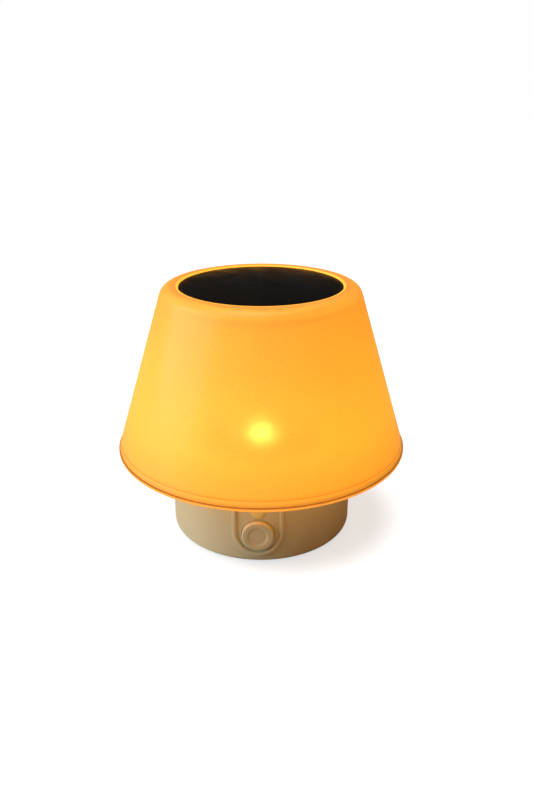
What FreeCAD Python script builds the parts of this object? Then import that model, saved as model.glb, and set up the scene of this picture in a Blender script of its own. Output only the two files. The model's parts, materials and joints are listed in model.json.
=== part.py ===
import FreeCAD, Part
import math
import os
import Sketcher

# Solar table lantern: a frosted tapered shade with a solar panel in its top, on a round base that
# holds the cell, the boards, a push button and a covered charging port.
# Frame: origin at the middle of the underside, +Z up, the button on the -Y side, the port on +Y.

doc = FreeCAD.newDocument("solar_lantern")
vector = FreeCAD.Vector


# ---------------------------------------------------------------- driving dimensions, millimetres

DIMENSIONS = [
    # shade
    ("shade_radius", 75.0),
    ("shade_top_radius", 48.8),
    ("shade_lift", 46.1),
    ("shade_height", 84.7),
    ("shade_wall", 2.2),
    ("shoulder_radius", 6.0),
    ("inner_shoulder_radius", 3.0),
    ("rim_band_height", 2.7),
    ("rim_groove_height", 0.4),
    ("rim_groove_depth", 0.35),
    ("floor_lip_height", 1.4),
    ("floor_thickness", 2.0),
    ("parting_gap", 0.4),
    ("parting_depth", 1.0),
    ("tongue_height", 3.0),
    ("tongue_wall", 1.6),
    ("slip_clearance", 0.25),
    # solar panel in the top of the shade
    ("panel_radius", 40.65),
    ("panel_recess", 0.6),
    ("panel_clearance", 0.3),
    ("glass_thickness", 1.0),
    ("cell_thickness", 0.4),
    ("cell_border", 1.4),
    ("cell_gap", 0.6),
    ("backing_thickness", 0.6),
    ("gasket_thickness", 0.3),
    ("ledge_width", 3.4),
    ("ledge_thickness", 2.0),
    ("lip_edge_radius", 0.4),
    ("tray_depth", 9.0),
    ("tray_wall", 1.4),
    ("tray_edge_radius", 1.26),
    ("tray_flange_width", 3.5),
    ("tray_flange_thickness", 1.6),
    ("tray_screw_inset", 1.8),
    ("panel_socket_width", 12.0),
    ("panel_socket_depth", 10.0),
    ("panel_socket_height", 7.8),
    ("panel_socket_inset", 7.95),
    # base
    ("base_radius", 47.8),
    ("base_wall", 2.4),
    ("base_edge_radius", 2.2),
    ("foot_proud", 0.8),
    ("foot_sunk", 0.8),
    ("foot_width", 2.2),
    ("foot_inset", 0.8),
    ("plate_inset", 3.6),
    ("plate_thickness", 2.4),
    ("plate_clearance", 0.2),
    ("plate_gasket_width", 1.8),
    ("plate_gasket_thickness", 0.8),
    ("plate_ledge_width", 2.2),
    ("plate_ledge_thickness", 1.8),
    ("spigot_radius", 30.8),
    ("spigot_height", 2.3),
    ("spigot_clearance", 0.2),
    ("seal_radius", 33.8),
    ("seal_width", 1.5),
    ("seal_depth", 1.2),
    # columns and screws
    ("column_inset", 7.4),
    ("column_radius", 3.2),
    ("plate_screw_length", 9.9),
    ("plate_screw_radius", 1.2),
    ("plate_screw_head_radius", 2.4),
    ("plate_screw_head_height", 1.2),
    ("shade_screw_inset", 7.4),
    ("shade_screw_radius", 1.1),
    ("shade_screw_reach", 5.0),
    ("shade_screw_head_radius", 2.2),
    ("shade_screw_head_height", 1.4),
    ("shade_boss_radius", 3.2),
    ("shade_boss_height", 4.9),
    ("hole_clearance", 0.2),
    ("small_screw_radius", 0.9),
    ("small_screw_head_radius", 1.8),
    ("small_screw_head_height", 1.4),
    ("small_screw_bite", 4.0),
    ("tiny_screw_radius", 0.8),
    ("tiny_screw_head_radius", 1.4),
    ("tiny_screw_head_height", 1.0),
    ("drive_width", 0.6),
    ("drive_reach", 0.7),
    ("drive_depth", 0.5),
    ("screw_tip_gap", 0.1),
    ("plate_screw_sink", 0.1),
    # cutters run past what they cut, and posts are rooted in their wall
    ("cut_past", 2.0),
    ("cut_depth", 6.0),
    ("post_root", 0.5),
    # light
    ("led_board_radius", 11.0),
    ("led_board_thickness", 1.2),
    ("led_emitter_side", 5.0),
    ("led_emitter_height", 1.4),
    ("led_lens_radius", 5.6),
    ("led_lens_sunk", 0.6),
    ("led_screw_offset", 8.2),
    ("led_screw_bite", 3.4),
    ("reflector_foot_radius", 18.0),
    ("reflector_radius", 20.0),
    ("reflector_height", 4.4),
    ("reflector_wall", 1.0),
    ("led_lead_hole", 3.0),
    # button, its surround and the indicator
    ("button_floor_gap", 1.6),
    ("button_radius", 8.0),
    ("button_clearance", 0.3),
    ("button_proud", 2.2),
    ("button_crown", 0.8),
    ("button_dish_radius", 4.75),
    ("button_dish_depth", 0.5),
    ("button_flange_width", 1.1),
    ("button_flange_thickness", 1.0),
    ("button_flange_inset", 2.4),
    ("button_stem_radius", 1.6),
    ("button_stem_length", 1.4),
    ("button_travel", 0.8),
    ("surround_radius", 13.0),
    ("surround_rise", 1.1),
    ("surround_rib_width", 2.3),
    ("surround_rib_proud", 1.3),
    ("surround_plate_thickness", 1.4),
    ("surround_top", 42.0),
    ("button_edge_radius", 0.5),
    ("button_crown_width", 0.96),
    ("indicator_gap", 1.0),
    ("indicator_radius", 3.6),
    ("indicator_clearance", 0.1),
    ("indicator_proud", 0.7),
    ("indicator_dome", 0.56),
    ("indicator_flange_width", 0.7),
    ("indicator_flange_thickness", 0.8),
    ("indicator_flange_inset", 0.3),
    ("indicator_led_side", 3.0),
    ("indicator_led_height", 1.0),
    ("control_board_inset", 7.4),
    ("control_board_thickness", 1.2),
    ("control_board_width", 30.0),
    ("control_board_bottom", 6.0),
    ("control_board_top", 33.0),
    ("control_post_offset", 12.3),
    ("control_post_inset", 3.5),
    ("control_post_radius", 2.0),
    ("switch_side", 6.0),
    ("switch_height", 3.0),
    ("plunger_length", 1.2),
    ("plunger_clearance", 0.3),
    ("plunger_stop", 0.4),
    ("boot_foot_radius", 8.0),
    ("boot_foot_height", 0.9),
    ("boot_top_radius", 5.6),
    ("boot_wall", 1.0),
    ("boot_foot_step", 0.8),
    # cell and its cradle
    ("cell_length", 65.0),
    ("cell_radius", 9.15),
    ("cell_centre_back", 8.0),
    ("cradle_floor", 1.4),
    ("cradle_wall", 2.0),
    ("cradle_height", 12.0),
    ("cradle_clearance", 0.15),
    ("contact_thickness", 1.0),
    ("contact_width", 12.0),
    ("contact_rise", 0.95),
    ("terminal_radius", 3.5),
    ("terminal_height", 0.8),
    # main board
    ("main_post_length", 9.1),
    ("main_board_thickness", 1.6),
    ("main_board_width", 46.0),
    ("main_board_depth", 38.0),
    ("main_board_back", 11.0),
    ("main_post_inset", 3.0),
    ("main_post_radius", 2.4),
    ("chip_side", 7.0),
    ("chip_height", 1.2),
    ("chip_left", 8.0),
    ("chip_front", 6.0),
    ("inductor_side", 6.0),
    ("inductor_height", 3.0),
    ("inductor_right", 9.0),
    ("inductor_front", 4.0),
    ("socket_width", 7.0),
    ("socket_depth", 5.0),
    ("socket_height", 4.0),
    ("port_socket_left", 2.2),
    # charging port and its cover
    ("port_height", 24.0),
    ("port_width", 8.94),
    ("port_thickness", 3.26),
    ("port_length", 7.3),
    ("port_shell_wall", 0.3),
    ("port_tongue_thickness", 0.7),
    ("port_tongue_back", 1.0),
    ("port_tongue_side", 1.2),
    ("port_shell_back", 1.2),
    ("port_hole_clearance", 0.25),
    ("port_face_depth", 2.7),
    ("port_pad_width", 22.0),
    ("port_pad_thickness", 2.7),
    ("port_pad_drop", 1.3),
    ("port_pad_rise", 2.0),
    ("cover_width", 16.0),
    ("cover_rise", 5.4),
    ("cover_thickness", 1.9),
    ("cover_clearance", 0.3),
    ("cover_plug_depth", 1.2),
    ("cover_plug_width", 7.0),
    ("cover_plug_height", 1.5),
    ("cover_tip_scoop", 5.0),
    ("cover_scoop_out", 3.4),
    ("cover_scoop_rise", 1.3),
    ("hinge_drop", 4.7),
    ("hinge_bead_radius", 1.2),
    ("hinge_pin_radius", 0.5),
    ("hinge_pin_clearance", 0.05),
    ("hinge_pin_grip", 1.5),
    ("hinge_swing_room", 0.5),
    ("port_board_thickness", 1.0),
    ("port_board_width", 20.0),
    ("port_board_height", 12.0),
    ("port_post_offset", 8.0),
    ("port_post_radius", 1.9),
    # leads
    ("panel_lead_radius", 1.1),
    ("lead_radius", 0.8),
    ("lead_bore_clearance", 0.2),
    ("grommet_radius", 3.0),
    ("grommet_flange_radius", 4.0),
    ("grommet_flange_thickness", 1.0),
    ("grommet_back", 24.5),
    ("clip_width", 6.0),
    ("clip_height", 5.0),
    ("clip_depth", 5.0),
    ("clip_bore_length", 30.0),
]

# Levels and radii that follow from the driving dimensions, each written once.
DERIVED = [
    ("shade_top", "dim.shade_lift + dim.shade_height"),
    ("shade_slope", "(dim.shade_radius - dim.shade_top_radius) / dim.shade_height"),
    ("shade_wall_across", "dim.shade_wall * sqrt(1 + at.shade_slope * at.shade_slope)"),
    ("floor_seat", "dim.shade_lift + dim.floor_lip_height"),
    ("floor_top", "dim.shade_lift + dim.floor_thickness"),
    ("glass_top", "at.shade_top - dim.panel_recess"),
    ("glass_bottom", "at.glass_top - dim.glass_thickness"),
    ("cell_bottom", "at.glass_bottom - dim.cell_thickness"),
    ("backing_bottom", "at.cell_bottom - dim.backing_thickness"),
    ("ledge_top", "at.backing_bottom - dim.gasket_thickness"),
    ("ledge_bottom", "at.ledge_top - dim.ledge_thickness"),
    ("ledge_bore", "dim.panel_radius - dim.ledge_width"),
    ("tray_radius", "at.ledge_bore - dim.panel_clearance"),
    ("tray_top", "at.ledge_top - dim.slip_clearance"),
    ("tray_bottom", "at.tray_top - dim.tray_depth"),
    ("tray_flange_radius", "at.tray_radius + dim.tray_flange_width"),
    ("tray_flange_bottom", "at.ledge_bottom - dim.tray_flange_thickness"),
    ("tray_screw_circle", "at.tray_flange_radius - dim.tray_screw_inset"),
    ("base_bore", "dim.base_radius - dim.base_wall"),
    ("base_bottom", "dim.foot_proud"),
    ("base_ceiling", "dim.shade_lift - dim.base_wall"),
    ("column_circle", "at.base_bore - dim.column_inset"),
    ("shade_screw_circle", "at.base_bore - dim.shade_screw_inset"),
    ("plate_radius", "dim.base_radius - dim.plate_inset"),
    ("spigot_top", "dim.shade_lift + dim.spigot_height"),
    ("plate_top", "at.base_bottom + dim.plate_thickness"),
    ("plate_ledge", "at.plate_top + dim.plate_gasket_thickness"),
    ("foot_outer", "at.plate_radius - dim.foot_inset"),
    ("foot_inner", "at.foot_outer - dim.foot_width"),
    ("plate_screw_head_top", "at.base_bottom + dim.plate_screw_head_height + dim.plate_screw_sink"),
    ("led_board_top", "at.spigot_top + dim.led_board_thickness"),
    ("lens_cavity", "dim.led_emitter_side / 2 * sqrt(2) + dim.slip_clearance"),
    ("surround_seat", "dim.base_radius - dim.surround_plate_thickness"),
    ("button_crest", "dim.base_radius + dim.button_proud"),
    ("button_flange_radius", "dim.button_radius + dim.button_flange_width"),
    ("button_height", "at.plate_ledge + dim.plate_ledge_thickness + at.button_flange_radius"
                      " + dim.button_floor_gap"),
    ("button_flange_back", "at.base_bore - dim.button_flange_inset"),
    ("indicator_height", "at.button_height + dim.button_radius + dim.indicator_radius + dim.indicator_gap"),
    ("indicator_flange_front", "at.base_bore - dim.indicator_flange_inset"),
    ("plunger_front", "at.button_flange_back - dim.button_stem_length"),
    ("plunger_back", "at.plunger_front - dim.plunger_length"),
    ("control_board_face", "at.base_bore - dim.control_board_inset"),
    ("control_board_back", "at.control_board_face - dim.control_board_thickness"),
    ("switch_front", "at.control_board_face + dim.switch_height"),
    ("cell_level", "at.plate_top + dim.cradle_floor + dim.cell_radius + dim.cradle_clearance"),
    ("contact_top", "at.cell_level + dim.cell_radius + dim.contact_rise"),
    ("main_board_top", "at.base_ceiling - dim.main_post_length"),
    ("main_board_level", "at.main_board_top - dim.main_board_thickness"),
    ("port_face", "dim.base_radius - dim.port_face_depth"),
    ("port_back", "at.port_face - dim.port_length"),
    ("port_pad_back", "at.port_face - dim.port_pad_thickness"),
    ("hinge_height", "dim.port_height - dim.hinge_drop"),
    ("cover_top", "dim.port_height + dim.cover_rise"),
    ("hinge_back", "dim.base_radius - dim.hinge_bead_radius"),
    ("recess_bottom", "at.hinge_height - dim.hinge_bead_radius - dim.hinge_swing_room"),
    ("recess_top", "at.cover_top + dim.cover_clearance"),
    ("recess_width", "dim.cover_width + 2 * dim.cover_clearance"),
    ("port_board_face", "at.port_back - dim.port_board_thickness"),
]


def write_sheet(name, rows, mark=""):
    """A spreadsheet with one aliased value to a row."""
    sheet = doc.addObject("Spreadsheet::Sheet", name)
    for row, (alias, value) in enumerate(rows, start=1):
        sheet.set(f"A{row}", alias)
        sheet.set(f"B{row}", f"{mark}{value}")
        sheet.setAlias(f"B{row}", alias)
    return sheet


dim = write_sheet("dim", DIMENSIONS)
derived_rows = [(alias, formula.replace("at.", "")) for alias, formula in DERIVED]
at = write_sheet("at", derived_rows, mark="=")
doc.recompute()


def value(expression):
    """The number that an expression of sheet values comes to."""
    return float(dim.evalExpression(str(expression)))


# ---------------------------------------------------------------- ways of making things

pieces = []


def piece(thing, label):
    """Names an object as one of the lantern's own sub-parts."""
    thing.Label = label
    pieces.append(thing)
    return thing


def bind(thing, **sizes):
    """Ties an object's properties to expressions of sheet values."""
    for name, expression in sizes.items():
        thing.setExpression(name, str(expression))


def put(thing, x=0, y=0, z=0, turn=None):
    """Places an object at a point given by expressions, turned about it where asked."""
    if turn is not None:
        thing.Placement = FreeCAD.Placement(vector(0, 0, 0), turn)
    for axis, expression in (("x", x), ("y", y), ("z", z)):
        thing.setExpression(f"Placement.Base.{axis}", str(expression))
    return thing


UPRIGHT = FreeCAD.Rotation()
TO_FRONT = FreeCAD.Rotation(vector(1, 0, 0), 90)
TO_BACK = FreeCAD.Rotation(vector(1, 0, 0), -90)
TO_RIGHT = FreeCAD.Rotation(vector(0, 1, 0), 90)
DOWN = FreeCAD.Rotation(vector(1, 0, 0), 180)


def cylinder(name, radius, length, x=0, y=0, z=0, turn=UPRIGHT):
    """A cylinder that grows from a point along its own turned Z."""
    thing = doc.addObject("Part::Cylinder", name)
    bind(thing, Radius=radius, Height=length)
    return put(thing, x, y, z, turn)


def block(name, low, high):
    """An upright box between two corners given as expressions."""
    thing = doc.addObject("Part::Box", name)
    spans = [f"({end}) - ({start})" for start, end in zip(low, high)]
    bind(thing, Length=spans[0], Width=spans[1], Height=spans[2])
    return put(thing, *low)


def fused(name, *things):
    """One object from things that touch or overlap."""
    joined = doc.addObject("Part::MultiFuse", name)
    joined.Shapes = list(things)
    joined.Refine = True
    return joined


def cut(name, body, *tools):
    """A body with every tool taken out of it."""
    tool = tools[0] if len(tools) == 1 else fused(f"{name}_tools", *tools)
    result = doc.addObject("Part::Cut", name)
    result.Base = body
    result.Tool = tool
    return result


def common(name, *things):
    """What several things share."""
    result = doc.addObject("Part::MultiCommon", name)
    result.Shapes = list(things)
    return result


def group(name, *things):
    """Separate like solids kept in one node."""
    result = doc.addObject("Part::Compound", name)
    result.Links = list(things)
    return result


def origin_plane(body, role):
    """One of a body's own origin planes."""
    return next(item for item in body.Origin.OriginFeatures if item.Role == role)


def sketch_on(body, role, name):
    """An empty sketch on an origin plane of a body."""
    sketch = body.newObject("Sketcher::SketchObject", name)
    sketch.AttachmentSupport = [(origin_plane(body, role), "")]
    sketch.MapMode = "FlatFace"
    return sketch


def add_outline(sketch, corners):
    """A closed run of straight lines whose corners are all tied to sheet values."""
    points = [vector(value(across), value(up), 0) for across, up in corners]
    first = sketch.GeometryCount
    for start, end in zip(points, points[1:] + points[:1]):
        sketch.addGeometry(Part.LineSegment(start, end))
    for index, (across, up) in enumerate(corners):
        line = first + index
        after = first + (index + 1) % len(corners)
        sketch.addConstraint(Sketcher.Constraint("Coincident", line, 2, after, 1))
        for kind, amount, expression in (("DistanceX", points[index].x, across),
                                         ("DistanceY", points[index].y, up)):
            number = sketch.addConstraint(Sketcher.Constraint(kind, -1, 1, line, 1, amount))
            sketch.setExpression(f"Constraints[{number}]", str(expression))


def turned(name, corners, turn=UPRIGHT, z=0):
    """A body turned about its upright axis from (radius, height) corners."""
    body = doc.addObject("PartDesign::Body", name)
    sketch = sketch_on(body, "XZ_Plane", f"{name}_outline")
    add_outline(sketch, corners)
    revolution = body.newObject("PartDesign::Revolution", f"{name}_turning")
    revolution.Profile = sketch
    revolution.ReferenceAxis = (sketch, ["V_Axis"])
    revolution.Angle = 360
    put(body, z=z, turn=turn)
    doc.recompute()
    return body


def ring_edges(shape, radius, height):
    """Names of a turned body's circular edges of a given radius and height."""
    names = []
    for number, edge in enumerate(shape.Edges, start=1):
        curve = edge.Curve
        if not isinstance(curve, Part.Circle):
            continue
        if abs(curve.Radius - value(radius)) < 1e-4 and abs(curve.Center.z - value(height)) < 1e-4:
            names.append(f"Edge{number}")
    return names


def round_ring(body, radius, height, size):
    """Rounds the circular edge of a turned body at a radius and height."""
    base = body.Tip
    fillet = body.newObject("PartDesign::Fillet", f"{body.Name}_round")
    fillet.Base = (base, ring_edges(base.Shape, radius, height))
    bind(fillet, Radius=size)
    doc.recompute()


def screw(name, kind, reach, x, y, z, turn):
    """A pan-head screw: its head starts at the point and its shank runs on from the head."""
    head_radius = f"dim.{kind}_head_radius"
    head_height = f"dim.{kind}_head_height"
    head = cylinder(f"{name}_head", head_radius, head_height)
    shank = cylinder(f"{name}_shank", f"dim.{kind}_radius", f"{head_height} + {reach}")
    solid = fused(f"{name}_solid", head, shank)
    slots = []
    long_side = f"dim.drive_reach * {head_radius} + dim.drive_width / 2"
    short_side = "dim.drive_width / 2"
    for across, along in ((long_side, short_side), (short_side, long_side)):
        low = (f"-({across})", f"-({along})", "-dim.cut_past")
        high = (across, along, f"{head_height} * dim.drive_depth")
        slots.append(block(f"{name}_slot", low, high))
    return put(cut(name, solid, *slots), x, y, z, turn)


def around(count, start, circle):
    """Expressions for the places of a number of points round the upright axis."""
    places = []
    for index in range(count):
        angle = start + 360 / count * index
        places.append((f"({circle}) * cos({angle} deg)", f"({circle}) * sin({angle} deg)"))
    return places


def cone_radius(level, inset="0"):
    """Radius of the shade's taper at a level, less an inset."""
    return f"(dim.shade_radius - at.shade_slope * (({level}) - dim.shade_lift) - ({inset}))"


def inner_radius(level):
    """Radius of the inside of the shade's taper at a level."""
    return cone_radius(level, "at.shade_wall_across")


# ---------------------------------------------------------------- routes of the leads

# Corners of each lead's route, chosen by hand, as (x, y, z), with the bend radius at each corner.
LEAD_LEVEL = 122.1
PANEL_LEAD_ROUTE = [
    (0.0, 29.0, LEAD_LEVEL),
    (0.0, 47.0, LEAD_LEVEL),
    (0.0, 65.0, 63.5),
    (0.0, 54.0, 56.0),
    (0.0, 24.5, 56.0),
    (0.0, 24.5, 38.6),
]
PANEL_LEAD_BENDS = [9.0, 8.0, 15.0, 6.0]
LED_LEAD_ROUTE = [(0.0, 0.0, 48.4), (0.0, 0.0, 38.6)]
BATTERY_LEAD_ROUTE = [(-33.0, 8.0, 24.0), (-33.0, 8.0, 36.8), (-19.5, 8.0, 36.8)]
BATTERY_LEAD_BENDS = [5.5]
SWITCH_LEAD_ROUTE = [
    (8.0, -36.8, 30.0),
    (8.0, -28.0, 30.0),
    (8.0, -18.0, 36.8),
    (8.0, -7.0, 36.8),
]
SWITCH_LEAD_BENDS = [10.0, 10.0]
PORT_LEAD_ROUTE = [
    (-5.0, 36.8, 27.5),
    (-5.0, 33.0, 27.5),
    (-5.0, 33.0, 36.8),
    (-5.0, 27.0, 36.8),
]
PORT_LEAD_BENDS = [3.0, 3.0]

# How far down its long slope the panel lead is held by each clip, as a share of that run.
CLIP_SHARES = (0.25, 0.8)


# ---------------------------------------------------------------- shade

def make_shade_shell():
    """Tapered frosted shade with a rim band, a rounded shoulder and a ledge for the panel."""
    band_top = "at.floor_seat + dim.parting_gap + dim.rim_band_height"
    groove_top = f"{band_top} + dim.rim_groove_height"
    parting_top = "at.floor_seat + dim.parting_gap"
    seat_radius = cone_radius("at.floor_seat", "dim.parting_depth")
    panel_bore = "dim.panel_radius + dim.panel_clearance"
    ceiling_radius = inner_radius("at.ledge_bottom")
    shell = turned("shade_blank", [
        (inner_radius("at.floor_seat"), "at.floor_seat"),
        (seat_radius, "at.floor_seat"),
        (seat_radius, parting_top),
        (cone_radius(parting_top), parting_top),
        (cone_radius(band_top), band_top),
        (cone_radius(band_top, "dim.rim_groove_depth"), band_top),
        (cone_radius(groove_top, "dim.rim_groove_depth"), groove_top),
        (cone_radius(groove_top), groove_top),
        ("dim.shade_top_radius", "at.shade_top"),
        (panel_bore, "at.shade_top"),
        (panel_bore, "at.ledge_top"),
        ("at.ledge_bore", "at.ledge_top"),
        ("at.ledge_bore", "at.ledge_bottom"),
        (ceiling_radius, "at.ledge_bottom"),
    ])
    round_ring(shell, "dim.shade_top_radius", "at.shade_top", "dim.shoulder_radius")
    round_ring(shell, ceiling_radius, "at.ledge_bottom", "dim.inner_shoulder_radius")
    round_ring(shell, panel_bore, "at.shade_top", "dim.lip_edge_radius")
    holes = []
    for x, y in around(4, 45, "at.tray_screw_circle"):
        depth = "dim.ledge_thickness - dim.slip_clearance"
        holes.append(cylinder("tray_screw_hole", "dim.tiny_screw_radius", depth, x, y, "at.ledge_bottom"))
    piece(cut("shade_cut", shell, *holes), "shade_shell")


def make_shade_floor():
    """Underside of the shade: lip, tongue that fits inside the shell, and screw bosses."""
    tongue_outer = f"{inner_radius('at.floor_seat + dim.tongue_height')} - dim.slip_clearance"
    tongue_inner = f"{tongue_outer} - dim.tongue_wall"
    tongue_top = "at.floor_seat + dim.tongue_height"
    bore = "dim.spigot_radius + dim.spigot_clearance"
    disc = turned("shade_floor_blank", [
        (bore, "dim.shade_lift"),
        ("dim.shade_radius", "dim.shade_lift"),
        ("dim.shade_radius", "at.floor_seat"),
        (tongue_outer, "at.floor_seat"),
        (tongue_outer, tongue_top),
        (tongue_inner, tongue_top),
        (tongue_inner, "at.floor_top"),
        (bore, "at.floor_top"),
    ])
    round_ring(disc, "dim.shade_radius", "dim.shade_lift", "dim.lip_edge_radius")
    bosses = []
    holes = []
    for x, y in around(3, 30, "at.shade_screw_circle"):
        height = "dim.shade_boss_height + dim.floor_thickness"
        bosses.append(cylinder("shade_boss", "dim.shade_boss_radius", height, x, y, "dim.shade_lift"))
        hole = cylinder("shade_boss_hole", "dim.shade_screw_radius", "dim.shade_screw_reach", x, y,
                        "dim.shade_lift")
        holes.append(hole)
    piece(cut("shade_floor_cut", fused("shade_floor_solid", disc, *bosses), *holes), "shade_floor")


def make_panel():
    """Clear cover, two half-round cells, backing board and gasket, stacked on the ledge."""
    glass = turned("glass_blank", [
        ("0", "at.glass_bottom"),
        ("dim.panel_radius", "at.glass_bottom"),
        ("dim.panel_radius", "at.glass_top"),
        ("0", "at.glass_top"),
    ])
    piece(glass, "panel_glass")
    for side, name in ((-1, "solar_cell_left"), (1, "solar_cell_right")):
        disc = cylinder(f"{name}_disc", "dim.panel_radius - dim.cell_border", "dim.cell_thickness",
                        z="at.cell_bottom")
        near = f"{side} * dim.cell_gap / 2"
        far = f"{side} * dim.panel_radius"
        low_x, high_x = (far, near) if side < 0 else (near, far)
        half = block(f"{name}_half", (low_x, "-dim.panel_radius", "at.cell_bottom"),
                     (high_x, "dim.panel_radius", "at.glass_bottom"))
        piece(common(f"{name}_shape", disc, half), name)
    backing = cylinder("backing_disc", "dim.panel_radius", "dim.backing_thickness", z="at.backing_bottom")
    piece(backing, "panel_backing")
    gasket = cut("gasket_ring",
                 cylinder("gasket_disc", "dim.panel_radius", "dim.gasket_thickness", z="at.ledge_top"),
                 cylinder("gasket_bore", "at.ledge_bore", "dim.gasket_thickness", z="at.ledge_top"))
    piece(gasket, "panel_gasket")
    half_width = "dim.panel_socket_width / 2"
    back = "at.tray_radius - dim.panel_socket_inset"
    socket = block("socket_block", (f"-{half_width}", f"{back} - dim.panel_socket_depth",
                                    "at.backing_bottom - dim.panel_socket_height"),
                   (half_width, back, "at.backing_bottom"))
    piece(socket, "panel_connector")


def make_panel_tray():
    """Opaque dish under the panel, screwed to the underside of the ledge."""
    inner = "at.tray_radius - dim.tray_wall"
    floor_top = "at.tray_bottom + dim.tray_wall"
    tray = turned("tray_blank", [
        ("0", "at.tray_bottom"),
        ("at.tray_radius", "at.tray_bottom"),
        ("at.tray_radius", "at.tray_flange_bottom"),
        ("at.tray_flange_radius", "at.tray_flange_bottom"),
        ("at.tray_flange_radius", "at.ledge_bottom"),
        ("at.tray_radius", "at.ledge_bottom"),
        ("at.tray_radius", "at.tray_top"),
        (inner, "at.tray_top"),
        (inner, floor_top),
        ("0", floor_top),
    ])
    round_ring(tray, "at.tray_radius", "at.tray_bottom", "dim.tray_edge_radius")
    holes = []
    screws = []
    for x, y in around(4, 45, "at.tray_screw_circle"):
        holes.append(cylinder("tray_hole", "dim.tiny_screw_radius", "dim.tray_flange_thickness", x, y,
                              "at.tray_flange_bottom"))
        reach = "dim.tray_flange_thickness + dim.ledge_thickness - dim.slip_clearance - dim.screw_tip_gap"
        screws.append(screw("tray_screw", "tiny_screw", reach, x, y,
                            "at.tray_flange_bottom - dim.tiny_screw_head_height", UPRIGHT))
    wall = "dim.panel_lead_radius + dim.lead_bore_clearance"
    exit_hole = cylinder("tray_lead_hole", wall, "3 * dim.tray_wall", "0",
                         "at.tray_radius - 2 * dim.tray_wall", LEAD_LEVEL, TO_BACK)
    piece(cut("tray_cut", tray, exit_hole, *holes), "panel_tray")
    piece(group("tray_screw_set", *screws), "tray_screws")


# ---------------------------------------------------------------- leads


def rounded_path(corners, bends):
    """Straight runs joined by tangent arcs, one arc at each inner corner."""
    points = [vector(*corner) for corner in corners]
    edges = []
    start = points[0]
    for before, corner, after, radius in zip(points, points[1:], points[2:], bends):
        inward = (corner - before).normalize()
        outward = (after - corner).normalize()
        turn = inward.getAngle(outward)
        setback = radius * math.tan(turn / 2)
        arc_start = corner - inward * setback
        arc_end = corner + outward * setback
        towards = (outward - inward).normalize()
        middle = corner + towards * (radius / math.cos(turn / 2) - radius)
        edges.append(Part.LineSegment(start, arc_start).toShape())
        edges.append(Part.Arc(arc_start, middle, arc_end).toShape())
        start = arc_end
    edges.append(Part.LineSegment(start, points[-1]).toShape())
    return Part.Wire(edges)


def make_lead(label, corners, bends, radius):
    """A lead of round section along a route of straight runs and tangent arcs."""
    path = rounded_path(corners, bends)
    first = vector(*corners[0])
    direction = vector(*corners[1]) - first
    section = Part.Wire([Part.Circle(first, direction, value(radius)).toShape()])
    tube = path.makePipeShell([section], True, False)
    lead = doc.addObject("Part::Feature", label)
    lead.Shape = tube
    expected = math.pi * value(radius) ** 2 * path.Length
    print(f"{label}: length {path.Length:.1f}, volume over section times length "
          f"{tube.Volume / expected:.4f}")
    return piece(lead, label)


def make_leads():
    """The panel's lead, the light's lead and the three short ones inside the base."""
    make_lead("panel_lead", PANEL_LEAD_ROUTE, PANEL_LEAD_BENDS, "dim.panel_lead_radius")
    make_lead("led_lead", LED_LEAD_ROUTE, [], "dim.lead_radius")
    make_lead("battery_lead", BATTERY_LEAD_ROUTE, BATTERY_LEAD_BENDS, "dim.lead_radius")
    make_lead("switch_lead", SWITCH_LEAD_ROUTE, SWITCH_LEAD_BENDS, "dim.lead_radius")
    make_lead("port_lead", PORT_LEAD_ROUTE, PORT_LEAD_BENDS, "dim.lead_radius")


def make_lead_clips():
    """Two clips on the inside of the taper that hold the panel lead."""
    clips = []
    top = PANEL_LEAD_ROUTE[1]
    bottom = PANEL_LEAD_ROUTE[2]
    lean = math.degrees(math.atan2(bottom[1] - top[1], top[2] - bottom[2]))
    along = FreeCAD.Rotation(vector(1, 0, 0), lean)
    half_bore = "dim.clip_bore_length / 2"
    bore_radius = "dim.panel_lead_radius + dim.lead_bore_clearance / 2"
    for number, share in enumerate(CLIP_SHARES):
        level = top[2] + (bottom[2] - top[2]) * share
        back = top[1] + (bottom[1] - top[1]) * share
        low = ("-dim.clip_width / 2", f"{back} - dim.clip_depth / 2", f"{level} - dim.clip_height / 2")
        high = ("dim.clip_width / 2", f"{back} + dim.clip_depth", f"{level} + dim.clip_height / 2")
        inside = doc.addObject("Part::Cone", f"clip_wall_{number}")
        bind(inside, Radius1=inner_radius("at.floor_seat"), Radius2=inner_radius("at.ledge_bottom"),
             Height="at.ledge_bottom - at.floor_seat")
        put(inside, z="at.floor_seat")
        outer = common(f"clip_outer_{number}", block(f"clip_block_{number}", low, high), inside)
        bore = cylinder(f"clip_bore_{number}", bore_radius, "dim.clip_bore_length", 0,
                        f"{back} - {half_bore} * sin({-lean} deg)",
                        f"{level} - {half_bore} * cos({lean} deg)", along)
        clips.append(cut(f"clip_{number}", outer, bore))
    piece(group("clip_pair", *clips), "lead_clips")


def make_grommet():
    """Flanged rubber sleeve where the panel lead passes into the base."""
    bore = "dim.panel_lead_radius + dim.lead_bore_clearance"
    flange = "dim.grommet_flange_radius"
    thickness = "dim.grommet_flange_thickness"
    sleeve = turned("grommet_blank", [
        (bore, f"at.base_ceiling - {thickness}"),
        (flange, f"at.base_ceiling - {thickness}"),
        (flange, "at.base_ceiling"),
        ("dim.grommet_radius", "at.base_ceiling"),
        ("dim.grommet_radius", "at.spigot_top"),
        (flange, "at.spigot_top"),
        (flange, f"at.spigot_top + {thickness}"),
        (bore, f"at.spigot_top + {thickness}"),
    ])
    put(sleeve, y="dim.grommet_back")
    piece(sleeve, "lead_grommet")


# ---------------------------------------------------------------- light

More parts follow.
